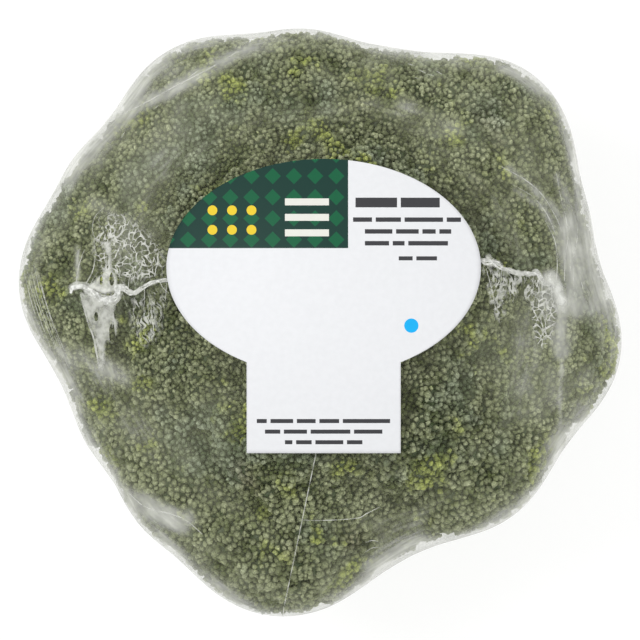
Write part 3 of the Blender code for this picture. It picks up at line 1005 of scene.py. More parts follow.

# %% [markdown]
# Where the film was folded or overheated it stays milky, in long soft smears: beside the
# melted seams, and in bands along the rim. Some strokes are painted highlights instead,
# white bands where the film would catch the light. Each smear is a stroke with a width
# and a strength, brushed onto the film from above. On the steep wall a stroke's edge would
# run straight down, so the smears are spread out and broken up there, and die away below
# the rim. An image painted from above would smear down the wall in the same way.

# %% List the strokes
# Each stroke is x and y of both ends and its width in mm, and its strength.
# Most strokes are milky film; some are painted highlights where the film would shine.
SMEARS_AND_HIGHLIGHTS = (
    (-64, 35, -54, 47, 3.4, 0.50), (-54, 47, -46, 58, 4.2, 0.54), (-46, 58, -38, 67, 2.8, 0.48),
    (-38, 67, -21, 71, 1.6, 0.40), (-51, 49, -42, 54, 2.0, 0.38), (-42, 54, -30, 60, 2.0, 0.40),
    (-30, 60, -14, 69, 2.0, 0.30), (-57, 40, -38, 60, 6.0, 0.12), (-73, 5, -68, -8, 1.0, 0.30),
    (-68, -8, -60, -19, 1.7, 0.40), (-64, -8, -48, -14, 3.0, 0.26),
    (-60, 17, -60, 10, 0.7, 0.35), (-55, 28, -48, 23, 2.7, 0.15),
    (-62, -15, -59, -27, 1.2, 0.40), (-59, -27, -55, -34, 1.2, 0.40), (-55, -34, -49, -43, 1.5, 0.42),
    (-47, -45, -34, -50, 2.7, 0.50), (-40, -54, -31, -63, 1.5, 0.40), (-31, -63, -18, -71, 1.2, 0.38),
    (5, -69, 13, -63, 1.2, 0.40), (13, -61, 25, -56, 2.2, 0.45), (26, -56, 40, -53, 1.0, 0.34),
    (40, -52, 48, -47, 1.2, 0.42), (48, -47, 56, -40, 1.5, 0.34), (57, -37, 60, -29, 1.7, 0.45),
    (59, -31, 67, -24, 2.7, 0.42), (15, 68, 24, 66, 2.0, 0.36), (20, 53, 33, 47, 2.6, 0.15),
    (45, 62, 53, 59, 1.5, 0.42), (53, 59, 58, 54, 1.5, 0.42), (58, 54, 64, 39, 1.5, 0.42),
    (64, 39, 67, 26, 1.7, 0.45), (61, 23, 63, 4, 3.6, 0.42), (66.4, 25, 68.4, 5, 3.8, 0.42),
    (60, 32, 61, 23, 2.4, 0.20), (66, 34, 66.4, 25, 2.4, 0.26), (63, 4, 61, -7, 2.2, 0.15),
    (68.4, 5, 70, -4, 2.6, 0.14), (-70, 24, -64, 35, 1.6, 0.32), (-21, 71, -8, 72, 1.2, 0.24),
    (59.6, -9, 58.8, -31, 0.6, 0.30), (62, -22, 58, -36, 3.2, 0.22),
    (69, 10, 72, 0, 2.4, 0.25), (56, 5, 59, -6, 2.6, 0.30), (57, 10, 59.4, 3, 2.3, 0.62),
    (46, 37, 53, 32, 1.0, 0.20), (53, 32, 58, 25, 1.1, 0.26), (48, 32, 54, 28, 0.9, 0.18),
    (54, 28, 57, 22, 1.0, 0.24), (58, 35, 60, 27, 0.9, 0.22), (50, -6, 58, -18, 11.0, 0.14),
    (-46, 18, -46, 36, 8.0, 0.09), (-42, 40, -32, 50, 8.0, 0.11), (-42, -24, -34, -34, 10.0, 0.06),
    (59.4, 3, 60, -8, 2.2, 0.40), (-28, -20, -26, -28, 7.0, 0.06), (44, 44, 52, 36, 8.0, 0.05),
)
print("There are", len(SMEARS_AND_HIGHLIGHTS), "strokes")

# %% Brush them on
SWAY_REACH = 1.1
RIM_FALL = 0.24
RIM_WANDER = 11
STEEPNESS = (0.25, 0.70)
WALL_ROUNDS = 60
SIDE_POLAR = (math.radians(66), math.radians(92))


def beside_stroke(x, y, x0, y0, x1, y1):
    """Distance of points from a stroke."""
    share = ((x - x0) * (x1 - x0) + (y - y0) * (y1 - y0)) / ((x1 - x0)**2 + (y1 - y0)**2)
    share = np.clip(share, 0, 1)
    return np.hypot(x - x0 - share * (x1 - x0), y - y0 - share * (y1 - y0))


x, y, z = film_points.T / MM
sway = SWAY_REACH * rough_at(film_points, 9 * MM, 3.0)
ragged_rim = WIDEST_HEIGHT / MM - z + RIM_WANDER * rough_at(film_points, 9 * MM, 12.0)
below_rim = RIM_FALL * np.clip(ragged_rim, 0, None)
smear_and_highlight = np.zeros(len(film_points))
for x0, y0, x1, y1, wide, strength in SMEARS_AND_HIGHLIGHTS:
    beside = np.hypot(beside_stroke(x + sway, y + sway, x0, y0, x1, y1), below_rim)
    smear_and_highlight = np.maximum(smear_and_highlight, strength * np.exp(-(beside / wide)**2))
smear_and_highlight *= 1 + 0.35 * rough_at(film_points, 4 * MM, 17.0)
steep = 1 - smooth_step(vertex_array(film.data, "normal")[:, 2], *STEEPNESS)
spread = spread_out(film.data, smear_and_highlight[:, None], WALL_ROUNDS)[:, 0]
spread *= 0.75 * (1 + 0.9 * rough_at(film_points, 7 * MM, 31.0)).clip(0.1, 1.6)
smear_and_highlight += (spread - smear_and_highlight) * steep
print("The film is smeared over", round(100 * float((smear_and_highlight > 0.1).mean())), "% of its points")

# %% Keep the values with the film
side = smooth_step(polar, *SIDE_POLAR)
film_values = {"bridging": bridging, "smear_and_highlight": smear_and_highlight, "side": side, "outward": outward}
for name, values in film_values.items():
    film.data.attributes.new(name, "FLOAT", "POINT").data.foreach_set("value", values)
film.data.attributes.new("pull", "FLOAT_VECTOR", "POINT").data.foreach_set("vector", pull.ravel())
print("The film keeps", len(film_values) + 1, "values at each point")

# %% [markdown]
# The film's finish is a white scattering skin that lets most light straight through. Its
# alpha is the haze: a little everywhere, more where it stands off, in streaks along the
# pull, and most where the sheet is seen edge-on and light passes through more of it. Fine
# bright streaks along the pull are painted glints, highlights that stand in for light
# caught by the film's wrinkles. Thin haze is tinted green, painted light from the green
# head under it, and thick haze is almost white. A glass shader would bend and filter the
# light truly, but costs far more to render.

# %% Choose how hazy it is
# Each haze is its even share and the share that comes with the streaks or clouds.
VEIL_HAZE = (0.12, 0.20)
FOLD_AND_HIGHLIGHT_HAZE = (0.96, 0.26)
LOW_HAZE = (0.05, 0.26)
# How strongly the fine streaks show that are painted glints, highlights of the film's wrinkles.
GLINT_HAZE = 0.26
TOUCH_HAZE = (0.008, 0.024, 0.085)
EDGE_POWER = 3.4
EDGE_HAZE = 0.50
MOST_HAZE = 0.90
# Thin haze is tinted green, painted light from the green head under it. Thick haze is the film's own milky
# white.
THIN_GREEN_BOUNCE_TINT = (0.72, 0.76, 0.50, 1)
THICK_TINT = (0.77, 0.78, 0.71, 1)
print("The haze is never thicker than", MOST_HAZE)

# %% Give the film its haze
film_finish, tree, shader = new_finish("hazy_film", (0.76, 0.77, 0.70), 0.16)


def kept_value(name, output="Fac"):
    return add(tree, "ShaderNodeAttribute", {"attribute_name": name}).outputs[output]


def product(first, second):
    return math_node(tree, "MULTIPLY", first, second)


def total(first, second):
    return math_node(tree, "ADD", first, second)


along_pull = kept_value("pull", "Vector")
streaks = ease(tree, grain(tree, 2.3, 5, along_pull), 0.36, 0.68)
glint_streaks = ease(tree, grain(tree, 7.0, 3, along_pull), 0.60, 0.74)
cloud = ease(tree, grain(tree, 130, 3), 0.25, 0.75)
veil = product(kept_value("bridging"), total(VEIL_HAZE[0], product(streaks, VEIL_HAZE[1])))
# Smears are milky film, and in part painted highlights.
folds_and_highlights = product(kept_value("smear_and_highlight"), total(FOLD_AND_HIGHLIGHT_HAZE[0], product(streaks, FOLD_AND_HIGHLIGHT_HAZE[1])))
clouded = product(product(streaks, cloud), LOW_HAZE[1])
low_haze = product(kept_value("side"), total(LOW_HAZE[0], clouded))
# Fine bright streaks on the smears and on the side: painted glints, highlights put into the haze.
glint_share = product(product(glint_streaks, cloud), GLINT_HAZE)
painted_glints = product(glint_share, total(kept_value("smear_and_highlight"), kept_value("side")))
near_rim = product(kept_value("outward"), TOUCH_HAZE[2])
touch = total(TOUCH_HAZE[0], product(cloud, total(TOUCH_HAZE[1], near_rim)))
edge_on = add(tree, "ShaderNodeLayerWeight", Blend=0.5).outputs["Facing"]
edge_haze = product(math_node(tree, "POWER", edge_on, EDGE_POWER), EDGE_HAZE)
haze = total(total(total(veil, folds_and_highlights), total(low_haze, painted_glints)), total(touch, edge_haze))
tree.links.new(math_node(tree, "MINIMUM", haze, MOST_HAZE), shader.inputs["Alpha"])
milky = blend_colour(tree, ease(tree, haze, 0.06, 0.40), THIN_GREEN_BOUNCE_TINT, THICK_TINT)
tree.links.new(milky, shader.inputs["Base Color"])
puckers = total(product(grain(tree, 3.4, 4, along_pull), 0.5), product(grain(tree, 260, 3), 0.5))
bump(tree, shader, puckers, 0.0007, 0.55)
dress(film, film_finish)
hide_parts("wrap_film")
print("The film's finish has", len(tree.nodes), "nodes")

# %% [markdown]
# ## Melted seams
#
# A hot wire cut and sealed the film across the head. It left a thick white bead on
# either side of the label, with webs of melted film that are torn into holes, and fine
# strands. A bead could be one displaced tube, but the real one is a rope of melted
# strings with gaps in it, so it is laid as uneven thin tubes that wind round each other.

# %% Follow the film with a smooth path
HIGH_ABOVE = 0.2


def film_height(x, y):
    """Height of the film over a spot of the table, all in metres."""
    hit = film_tree.ray_cast(Vector((x, y, HIGH_ABOVE)), Vector((0, 0, -1)))
    return hit[0].z if hit[0] else None


def eased_path(stops, steps):
    """A smooth curve through the stops, each a tuple of numbers, by Catmull-Rom."""
    stops = np.array(stops, float)
    ends = np.concatenate([[2 * stops[0] - stops[1]], stops, [2 * stops[-1] - stops[-2]]])
    path = []
    for a, b, c, d in zip(ends, ends[1:], ends[2:], ends[3:]):
        for t in np.arange(steps) / steps:
            path.append(0.5 * ((2 * b) + (c - a) * t + (2 * a - 5 * b + 4 * c - d) * t**2
                               + (3 * b - a - 3 * c + d) * t**3))
    path.append(stops[-1])
    return np.array(path)


print("Over the middle the film is", round(film_height(0, 0) / MM, 1), "mm high")

# %% Shape one tube
TUBE_FLATNESS = 0.6
LUMP_SIZE = 1.1 * MM


def tube_along(path, radii, sides, lumps, sink):
    """Rings of points round a path that lies on the film, and the tube's faces."""
    tangent = np.gradient(path, axis=0)
    tangent /= np.linalg.norm(tangent, axis=1, keepdims=True)
    up = np.array([film_tree.find_nearest(Vector(p))[1] for p in path])
    across = np.cross(tangent, up)
    across /= np.linalg.norm(across, axis=1, keepdims=True)
    up = np.cross(across, tangent)
    points, faces = [], []
    for spot, side, lift, radius in zip(path, across, up, radii):
        for step in range(sides):
            turn = math.tau * step / sides
            place = spot + radius * (math.cos(turn) * side + (math.sin(turn) * TUBE_FLATNESS + sink) * lift)
            swell = 1 + lumps * noise.noise(Vector(place) / LUMP_SIZE)
            points.append(spot + (place - spot) * swell)
    for ring in range(len(path) - 1):
        for step in range(sides):
            a, b = ring * sides + step, ring * sides + (step + 1) % sides
            faces.append((a, a + sides, b + sides, b))
    faces.append(tuple(range(sides)))
    faces.append(tuple(len(points) - 1 - k for k in range(sides)))
    return points, faces


print("A tube can be shaped")

# %% Lay tubes on the film
STEPS_PER_STOP = 8


def lay_tubes(name, tubes, sides, lumps, finish, sink=0.2):
    """One piece of several tubes, each a list of (x mm, y mm, radius mm) on the film."""
    points, faces = [], []
    for stops in tubes:
        path = eased_path(stops, STEPS_PER_STOP)
        heights = [film_height(x * MM, y * MM) for x, y, _ in path]
        kept = [(x * MM, y * MM, z, r * MM) for (x, y, r), z in zip(path, heights) if z]
        kept = np.array(kept)
        new_points, new_faces = tube_along(kept[:, :3], kept[:, 3], sides, lumps, sink)
        faces += [tuple(corner + len(points) for corner in face) for face in new_faces]
        points += new_points
    return piece_of(name, points, faces, finish)


print("Tubes can be laid")

# %% Melt the film
melt_finish, tree, shader = new_finish("melted_film", (0.84, 0.85, 0.81), 0.26)
thick = ease(tree, grain(tree, 900, 3), 0.34, 0.66, 0.34, 0.97)
tree.links.new(thick, shader.inputs["Alpha"])
bump(tree, shader, grain(tree, 1500, 3), 0.0003, 0.8)
print("Melted film has", len(tree.nodes), "nodes")

# %% Wind the beads
# Each stop is x, y and radius in mm.
LEFT_BEAD = ((-61.4, 6.9, 0.30), (-61.0, 7.8, 0.62), (-59.4, 8.4, 0.70), (-57.6, 8.0, 0.75),
             (-56.0, 6.3, 0.85), (-54.3, 5.2, 0.90), (-52.1, 4.6, 0.90), (-50.4, 5.2, 0.90),
             (-49.5, 7.6, 0.85), (-48.0, 7.6, 0.62), (-45.9, 6.4, 0.50), (-43.9, 7.7, 0.42),
             (-41.0, 9.1, 0.40), (-38.6, 9.6, 0.36), (-36.8, 9.9, 0.32))
RIGHT_BEAD = ((39.4, 14.6, 0.35), (40.8, 14.3, 0.70), (42.6, 14.0, 0.85), (44.4, 12.9, 0.60),
              (46.6, 12.0, 0.50), (49.2, 11.3, 0.55), (51.6, 11.2, 0.55), (53.4, 11.5, 0.70),
              (54.4, 10.2, 0.50), (56.0, 8.6, 0.40), (57.4, 8.0, 0.40))
ROPE_STRANDS = 6
ROPE_SPREAD = 0.98
ROPE_THICKNESS = 0.30
ROPE_TWIST = 1.1
TWIST_SPREAD = 0.9


def rope(stops):
    """Strands that wind loosely round the path, so that small gaps show between them."""
    strands = []
    for number in range(ROPE_STRANDS):
        strand = []
        for step, (x, y, radius) in enumerate(stops):
            turn = math.tau * number / ROPE_STRANDS + ROPE_TWIST * step + TWIST_SPREAD * draw.normal()
            out = radius * ROPE_SPREAD * (0.3 + 0.9 * draw.random())
            thick = radius * ROPE_THICKNESS * (0.6 + 0.8 * draw.random())
            strand.append((x + out * math.cos(turn), y + out * math.sin(turn), thick))
        strands.append(strand)
    return strands


KNOB = ((-61.3, 6.5, 0.35), (-61.0, 7.6, 0.58), (-59.9, 8.2, 0.54), (-58.4, 8.1, 0.34))
lay_tubes("seam_beads", rope(LEFT_BEAD) + rope(RIGHT_BEAD) + [KNOB], 10, 0.6, melt_finish)
print("Two beads are laid, of", ROPE_STRANDS, "strands each")

# %% [markdown]
# The webs beside the beads are melted film that tore into nets. The borders between the
# cells of a Voronoi pattern make such a net, wide where the melt is thick and thin where
# it was pulled. Such a net could be cut out of the film with alpha alone, but then it
# would have no edges. Here it is a mesh of its own, traced on a fine grid. It fades
# towards its edge, so each point also keeps how far inside it is.

# %% Measure outlines and nets
def inside_outline(x, y, outline):
    """Distance in mm from the outline's edge: positive inside, negative outside."""
    corners = np.array(outline)
    nearest = np.full(x.shape, 1e9)
    inside = np.zeros(x.shape, bool)
    for (ax, ay), (bx, by) in zip(corners, np.roll(corners, -1, axis=0)):
        nearest = np.minimum(nearest, beside_stroke(x, y, ax, ay, bx, by))
        crosses = (ay > y) != (by > y)
        with np.errstate(divide="ignore", invalid="ignore"):
            inside ^= crosses & (x < (bx - ax) * (y - ay) / (by - ay) + ax)
    return np.where(inside, nearest, -nearest)


def net_threads(x, y, cell, thread, seed):
    """Positive on the borders between Voronoi cells of the given width and height in mm."""
    places = zip((x / cell[0]).ravel(), (y / cell[1]).ravel())
    nearest = [noise.voronoi(Vector((a, b, seed)))[0] for a, b in places]
    across = np.array([distances[1] - distances[0] for distances in nearest]).reshape(x.shape)
    return thread - across * min(cell) / 2


print("Outlines and nets can be measured")

# %% Combine them to lace
EDGE_WOBBLE = 0.35
HOLE_WOBBLE = 0.15
NET_DRIFT = 1.3
WOBBLES_PER_MM = 0.8
DRIFTS_PER_MM = 0.42
NOWHERE = -9


def lace_depth(x, y, outline, holes, net, body):
    """How far in mm each place is inside the outline, and inside the lace.

    net is the cell size and the thread's half width in mm. Two slow noises bend the net,
    so that no two cells are alike. Where a body is given, noise above it fills the cells.
    """
    grid = list(zip(x.ravel(), y.ravel()))
    wobble = np.array([noise.noise(Vector((a, b, 4)) * WOBBLES_PER_MM) for a, b in grid])
    wobble = wobble.reshape(x.shape)
    edge = inside_outline(x, y, outline) + EDGE_WOBBLE * wobble
    value = edge
    if net:
        drift = np.array([[noise.noise(Vector((a, b, level)) * DRIFTS_PER_MM) for a, b in grid]
                          for level in (9, 21)])
        drift_x, drift_y = NET_DRIFT * drift.reshape(2, *x.shape)
        thread = net[1] * (1 + 0.7 * wobble)
        threads = net_threads(x + drift_x + 0.4 * wobble, y + drift_y, net[0], thread, outline[0][0])
        filled = (wobble - body) * 1.5 if body is not None else NOWHERE
        value = np.minimum(edge, np.maximum(threads, filled))
    for hole_x, hole_y, wide, tall in holes:
        oval = (np.hypot((x - hole_x) / wide, (y - hole_y) / tall) - 1) * min(wide, tall)
        value = np.minimum(value, oval + HOLE_WOBBLE * wobble)
    return edge, value


print("Nets drift by up to", NET_DRIFT, "mm")

# %% Make lace
LACE_STEP = 0.11
LACE_MARGIN = 1
EDGE_NUDGE = 0.15


def lace(name, outline, finish, holes=(), net=None, body=None, fade=0.4, lift=0.2, thickness=0.12):
    """A web of melted film, laid on the film: an outline less its holes, or a net in it."""
    corners = np.array(outline)
    low, high = corners.min(axis=0) - LACE_MARGIN, corners.max(axis=0) + LACE_MARGIN
    x, y = np.meshgrid(*(np.arange(a, b, LACE_STEP) for a, b in zip(low, high)), indexing="ij")
    edge, value = lace_depth(x, y, outline, holes, net, body)
    slope_x, slope_y = np.gradient(value, LACE_STEP)
    steep = slope_x**2 + slope_y**2 + 1e-6
    nudge = np.where(np.abs(value) < 0.8 * LACE_STEP, -value / steep, 0).clip(-EDGE_NUDGE, EDGE_NUDGE)
    x, y = x + nudge * slope_x, y + nudge * slope_y
    cell = (value[:-1, :-1] + value[1:, :-1] + value[1:, 1:] + value[:-1, 1:]) / 4 > 0
    index = np.arange(x.size).reshape(x.shape)
    rings = [index[:-1, :-1][cell], index[1:, :-1][cell], index[1:, 1:][cell], index[:-1, 1:][cell]]
    used, corners_at = np.unique(np.stack(rings, axis=1), return_inverse=True)
    places = [(a, b, film_height(a * MM, b * MM)) for a, b in zip(x.flat[used], y.flat[used])]
    points = [(a * MM, b * MM, (c or WIDEST_HEIGHT) + lift * MM) for a, b, c in places]
    obj = piece_of(name, points, corners_at.reshape(-1, 4).tolist(), finish)
    firm = smooth_step(edge.flat[used], -0.1, fade)
    obj.data.attributes.new("firm", "FLOAT", "POINT").data.foreach_set("value", firm)
    wall = obj.modifiers.new("thickness", "SOLIDIFY")
    wall.thickness = thickness * MM
    wall.offset = 0
    return len(used)


print("Lace is traced in steps of", LACE_STEP, "mm")

# %% Make melted finishes that fade
def fading_finish(name, colour, low, high):
    """Melted film whose alpha runs from low to high in patches, and fades at its edge."""
    finish, tree, shader = new_finish(name, colour, 0.32)
    patches = ease(tree, grain(tree, 520, 4), 0.34, 0.66, low, high)
    firm = add(tree, "ShaderNodeAttribute", {"attribute_name": "firm"}).outputs["Fac"]
    tree.links.new(math_node(tree, "MULTIPLY", patches, firm), shader.inputs["Alpha"])
    bump(tree, shader, grain(tree, 800, 3), 0.0003, 0.7)
    return finish


web_finish = fading_finish("torn_web", (0.74, 0.75, 0.69), 0.22, 0.56)
net_finish = fading_finish("fine_net", (0.80, 0.81, 0.75), 0.14, 0.66)
clot_finish = fading_finish("melted_clot", (0.86, 0.87, 0.82), 0.30, 0.88)
trunk_finish = fading_finish("pulled_web", (0.80, 0.81, 0.75), 0.32, 0.74)
faint_finish = fading_finish("faint_net", (0.80, 0.81, 0.75), 0.06, 0.46)
print("Five melted finishes are mixed")

# %% Outline the webs
# Corners are x and y in mm. A hole is x, y, half its width and half its height.
LEFT_LOWER_WEB = ((-59.2, 7.0), (-58.6, 3.2), (-57.0, -0.7), (-56.0, -3.7), (-55.4, -6.4), (-55.0, -9.6),
                  (-54.9, -12.4), (-53.0, -12.6), (-52.6, -8.2), (-52.6, -5.4), (-51.0, -5.9), (-49.9, -3.7),
                  (-49.6, -0.7), (-50.2, 1.7), (-50.0, 4.4), (-52.3, 4.6), (-54.7, 5.4), (-56.6, 6.6))
LEFT_LOWER_HOLES = ((-55.0, 0.8, 0.50, 1.15), (-51.1, -3.5, 0.75, 2.3), (-52.7, 4.0, 0.8, 0.75),
                    (-50.4, 1.4, 0.25, 1.2))
LEFT_UPPER_HOLES = ((-53.8, 9.6, 0.40, 1.0), (-51.2, 9.8, 0.55, 1.6), (-52.2, 14.2, 0.22, 1.5))
LEFT_UPPER_WEB = ((-57.6, 8.0), (-55.2, 10.2), (-53.2, 11.8), (-52.6, 15.1), (-53.4, 18.2), (-55.0, 18.9),
                  (-53.3, 19.3), (-51.0, 19.4), (-51.2, 15.1), (-50.9, 12.4), (-49.6, 10.6),
                  (-49.6, 8.0), (-50.6, 6.4), (-53.0, 6.0), (-55.6, 7.0))
LEFT_NET = ((-54.6, 27.0), (-49.0, 27.4), (-43.0, 23.6), (-38.0, 17.6), (-36.8, 12.4), (-39.0, 9.4),
            (-44.0, 8.4), (-49.0, 8.0), (-53.4, 9.4), (-56.4, 14.0), (-57.0, 21.0))
LEFT_WISPS = ((-48.0, 6.6), (-44.6, 6.2), (-40.2, 8.6), (-37.0, 8.0), (-37.4, -1.0), (-40.4, -7.0),
              (-43.6, -8.0), (-47.0, -3.0))
RIGHT_CLOT = ((55.0, 11.2), (56.8, 12.6), (59.0, 10.8), (61.4, 6.6), (61.8, 3.6), (60.2, 1.0), (58.0, 3.0),
              (56.6, 6.8), (54.6, 9.6))
RIGHT_NET = ((52.0, 10.4), (54.6, 10.6), (57.4, 8.0), (58.4, 3.8), (58.2, -0.9), (57.0, -5.0), (55.0, -7.4),
             (52.8, -6.0), (52.0, -1.5), (51.4, 4.2))
RIGHT_CORNER = ((39.4, 15.0), (41.8, 16.4), (43.6, 14.6), (46.8, 12.4), (46.2, 8.0), (45.6, 1.0),
                (44.0, -1.6), (42.0, 2.6), (40.2, 9.2))
RIGHT_FRINGE = ((44.6, 12.0), (51.8, 11.2), (53.2, 9.6), (52.4, 2.4), (49.4, 5.8), (46.4, 3.0))
RIBBON_STEPS = 4


def ribbon(stops, widen):
    """An outline round a bead's path, as wide as the bead's radii times a factor."""
    path = eased_path(stops, RIBBON_STEPS)
    along = np.gradient(path[:, :2], axis=0)
    along /= np.linalg.norm(along, axis=1, keepdims=True)
    out = np.stack([-along[:, 1], along[:, 0]], axis=1) * path[:, 2:] * widen
    return np.concatenate([path[:, :2] + out, (path[:, :2] - out)[::-1]])


print("The left ribbon has", len(ribbon(LEFT_BEAD, 1)), "corners")

# %% Lay the webs
RIBBON_LOOK = {"net": ((0.9, 0.8), 0.13), "body": -0.02, "fade": 0.3, "lift": 0.15}

points_laid = [
    lace("left_ribbon", ribbon(LEFT_BEAD, 1.45), web_finish, **RIBBON_LOOK),
    lace("right_ribbon", ribbon(RIGHT_BEAD, 1.35), web_finish, **RIBBON_LOOK),
    lace("left_lower_web", LEFT_LOWER_WEB, web_finish, holes=LEFT_LOWER_HOLES, fade=1.0),
    lace("left_upper_web", LEFT_UPPER_WEB, trunk_finish, holes=LEFT_UPPER_HOLES, fade=0.9),
    lace("left_net", LEFT_NET, net_finish, net=((1.15, 1.65), 0.062), fade=3.6),
    lace("left_wisps", LEFT_WISPS, faint_finish, net=((0.75, 7.0), 0.045), fade=3.2),
    lace("right_clot", RIGHT_CLOT, clot_finish, fade=2.6, lift=0.3),
    lace("right_net", RIGHT_NET, net_finish, net=((1.2, 1.8), 0.072), fade=0.8),
    lace("right_corner_web", RIGHT_CORNER, faint_finish, net=((0.9, 7.0), 0.060), body=0.16, fade=1.0),
    lace("right_fringe", RIGHT_FRINGE, faint_finish, net=((0.7, 6.0), 0.050), fade=1.4),
]
print("The webs have", sum(points_laid), "points")

# %% [markdown]
# Fine strands fan out from the beads, and long thin ridges run where the film folded on
# itself: along the left and right edges, across the front, and one straight seam from
# under the label down to the stalk. Curves with a bevel would do, but thin tubes that are
# laid as the beads were keep to the film. The named ones follow the photograph. The
# others are drawn at random, close to the beads.

# %% Make the strands' finish
strand_finish, tree, shader = new_finish("drawn_strand", (0.84, 0.85, 0.80), 0.30)
tree.links.new(ease(tree, grain(tree, 350, 3), 0.30, 0.70, 0.08, 0.58), shader.inputs["Alpha"])
bump(tree, shader, grain(tree, 1500, 2), 0.0002, 0.5)
print("Strands have", len(tree.nodes), "nodes")

# %% Place the ridges and glints
# A ridge's stops are x, y and radius in mm. A glint, a painted highlight, is x, y, an angle and a length.
LOOP = ((-55.0, 19.4, 0.22), (-53.3, 18.9, 0.30), (-51.3, 19.4, 0.28), (-49.2, 20.8, 0.24),
        (-48.0, 22.8, 0.22), (-48.0, 24.6, 0.18), (-49.0, 26.0, 0.14))
WEB_HEM = ((-58.9, 6.4, 0.26), (-58.1, 3.0, 0.26), (-57.2, -0.4, 0.24), (-55.8, -4.2, 0.28),
           (-55.0, -8.0, 0.34), (-54.4, -11.4, 0.24))
RIDGES = (
    LOOP, WEB_HEM,
    ((-55.2, 19.6, 0.16), (-56.0, 22.2, 0.13), (-55.4, 25.2, 0.11), (-53.2, 27.6, 0.09)),
    ((-51.4, 19.6, 0.13), (-50.2, 22.4, 0.11), (-50.4, 25.6, 0.09)),
    ((-57.6, 8.8, 0.18), (-55.9, 12.0, 0.14), (-55.3, 16.0, 0.12), (-55.6, 20.0, 0.10)),
    ((-60.0, 9.0, 0.12), (-59.4, 13.0, 0.10), (-58.0, 17.2, 0.08)),
    ((44.6, 37.6, 0.06), (50.4, 34.4, 0.11), (54.6, 30.8, 0.12), (58.0, 25.4, 0.12), (59.6, 21.4, 0.09)),
    ((47.4, 33.2, 0.05), (52.6, 30.0, 0.09), (56.0, 25.6, 0.12), (58.0, 21.0, 0.09)),
    ((58.2, 36.0, 0.05), (59.2, 30.6, 0.10), (60.6, 25.0, 0.11), (61.2, 19.6, 0.08)),
    ((55.4, 24.5, 0.08), (57.8, 19.4, 0.12), (58.4, 14.3, 0.14), (58.2, 9.6, 0.16)),
    ((61.6, 23.4, 0.07), (61.0, 19.5, 0.10), (60.4, 15.1, 0.10), (60.2, 9.4, 0.11)),
    ((63.6, 27.0, 0.05), (63.4, 20.0, 0.08), (62.4, 14.0, 0.08), (62.6, 6.0, 0.06)),
    ((59.6, 54.0, 0.08), (62.4, 46.0, 0.14), (64.0, 38.0, 0.15), (64.6, 31.0, 0.12)),
    ((40.8, 12.6, 0.16), (42.0, 8.0, 0.13), (43.2, 2.0, 0.10)),
    ((-4.8, -49.2, 0.08), (-0.4, -49.4, 0.13), (8.8, -48.9, 0.14), (11.5, -47.7, 0.12), (14.7, -46.1, 0.07)),
    ((11.2, -54.9, 0.07), (12.8, -54.4, 0.12), (14.4, -54.7, 0.07)),
    ((11.0, -57.4, 0.07), (12.8, -56.3, 0.12), (14.6, -56.1, 0.07)),
    ((-47.4, -42.6, 0.12), (-43.0, -46.2, 0.20), (-37.0, -47.8, 0.22), (-33.0, -49.4, 0.16),
     (-29.0, -52.8, 0.10)),
    ((-52.0, 49.0, 0.10), (-43.0, 53.4, 0.18), (-35.0, 57.8, 0.20), (-28.0, 61.4, 0.16), (-20.0, 66.2, 0.10)),
)
# Glints are short white tubes where the film would shine: painted highlights.
GLINTS = (
    (-45.6, 53.8, 45, 2.4), (-34.7, 57.6, 30, 2.2), (-31.1, 60.5, 35, 3.2), (-30.2, 59.2, 35, 2.0),
    (-40.4, 52.2, 40, 1.6), (-48.6, 45.4, 60, 1.8), (-28.0, 61.4, 30, 1.6), (22.5, 62.8, -20, 1.8),
    (25.0, 61.2, -25, 2.4), (27.4, 60.2, -15, 1.8), (24.0, 59.4, -20, 1.4), (29.4, 60.8, -30, 1.6),
    (62.4, 16.4, 95, 2.2), (61.6, 13.0, 100, 2.0), (64.6, 8.4, 105, 1.8), (18.0, 66.0, -10, 2.2),
)
print("There are", len(RIDGES), "ridges and", len(GLINTS), "glints")

# %% Draw them, and the random ones
LEFT_EDGE = ((-73.0, 9.6), (-71.2, 4.0), (-68.8, -1.4), (-65.8, -7.6))
LEFT_EDGE_RIDGES = 8
EDGE_RIDGE_GAP = 0.62
GLINT_RADII = (0.05, 0.13)
# Each bead, how far its strands reach up and down in mm, and their number.
STRANDS = ((LEFT_BEAD, 9, 7, 14), (RIGHT_BEAD, 2, 7, 10))

tubes = list(RIDGES)
# Each glint is laid as a short white tube, a painted highlight.
for x, y, angle, length in GLINTS:
    dx, dy = (length / 2 * way(math.radians(angle)) for way in (math.cos, math.sin))
    thin, thick = GLINT_RADII
    tubes.append([(x - dx, y - dy, thin), (x, y, thick), (x + dx, y + dy, thin)])
for number in range(LEFT_EDGE_RIDGES):
    shift = number * EDGE_RIDGE_GAP
    begin, end = draw.random() * 5, draw.random() * 4
    radii = (0.04, 0.08 + 0.04 * draw.random(), 0.08, 0.04)
    slide = np.linspace(-begin, end, len(LEFT_EDGE))
    tubes.append([(x + shift, y - slip - shift * 0.2, radius)
                  for (x, y), slip, radius in zip(LEFT_EDGE, slide, radii)])
for bead, reach_up, reach_down, count in STRANDS:
    for _ in range(count):
        x, y, _ = bead[int(draw.integers(2, len(bead) - 1))]
        x += draw.normal() * 0.9
        upward = draw.random() < reach_up / (reach_up + reach_down)
        far = (reach_up if upward else -reach_down) * (0.4 + 0.6 * draw.random())
        drift = draw.normal() * 1.3
        tubes.append([(x, y, 0.10), (x + drift * 0.3, y + far * 0.5, 0.08), (x + drift, y + far, 0.05)])
lay_tubes("film_strands", tubes, 6, 0.3, strand_finish, sink=0.1)
print(len(tubes), "strands and ridges")

# %% [markdown]
# The straight seam starts under the label and runs down the front to the stalk. Seen from
# above, its first part is a straight line. Past the rim it can't be found from above any
# more, so rays from the middle of the film find the rest of it.

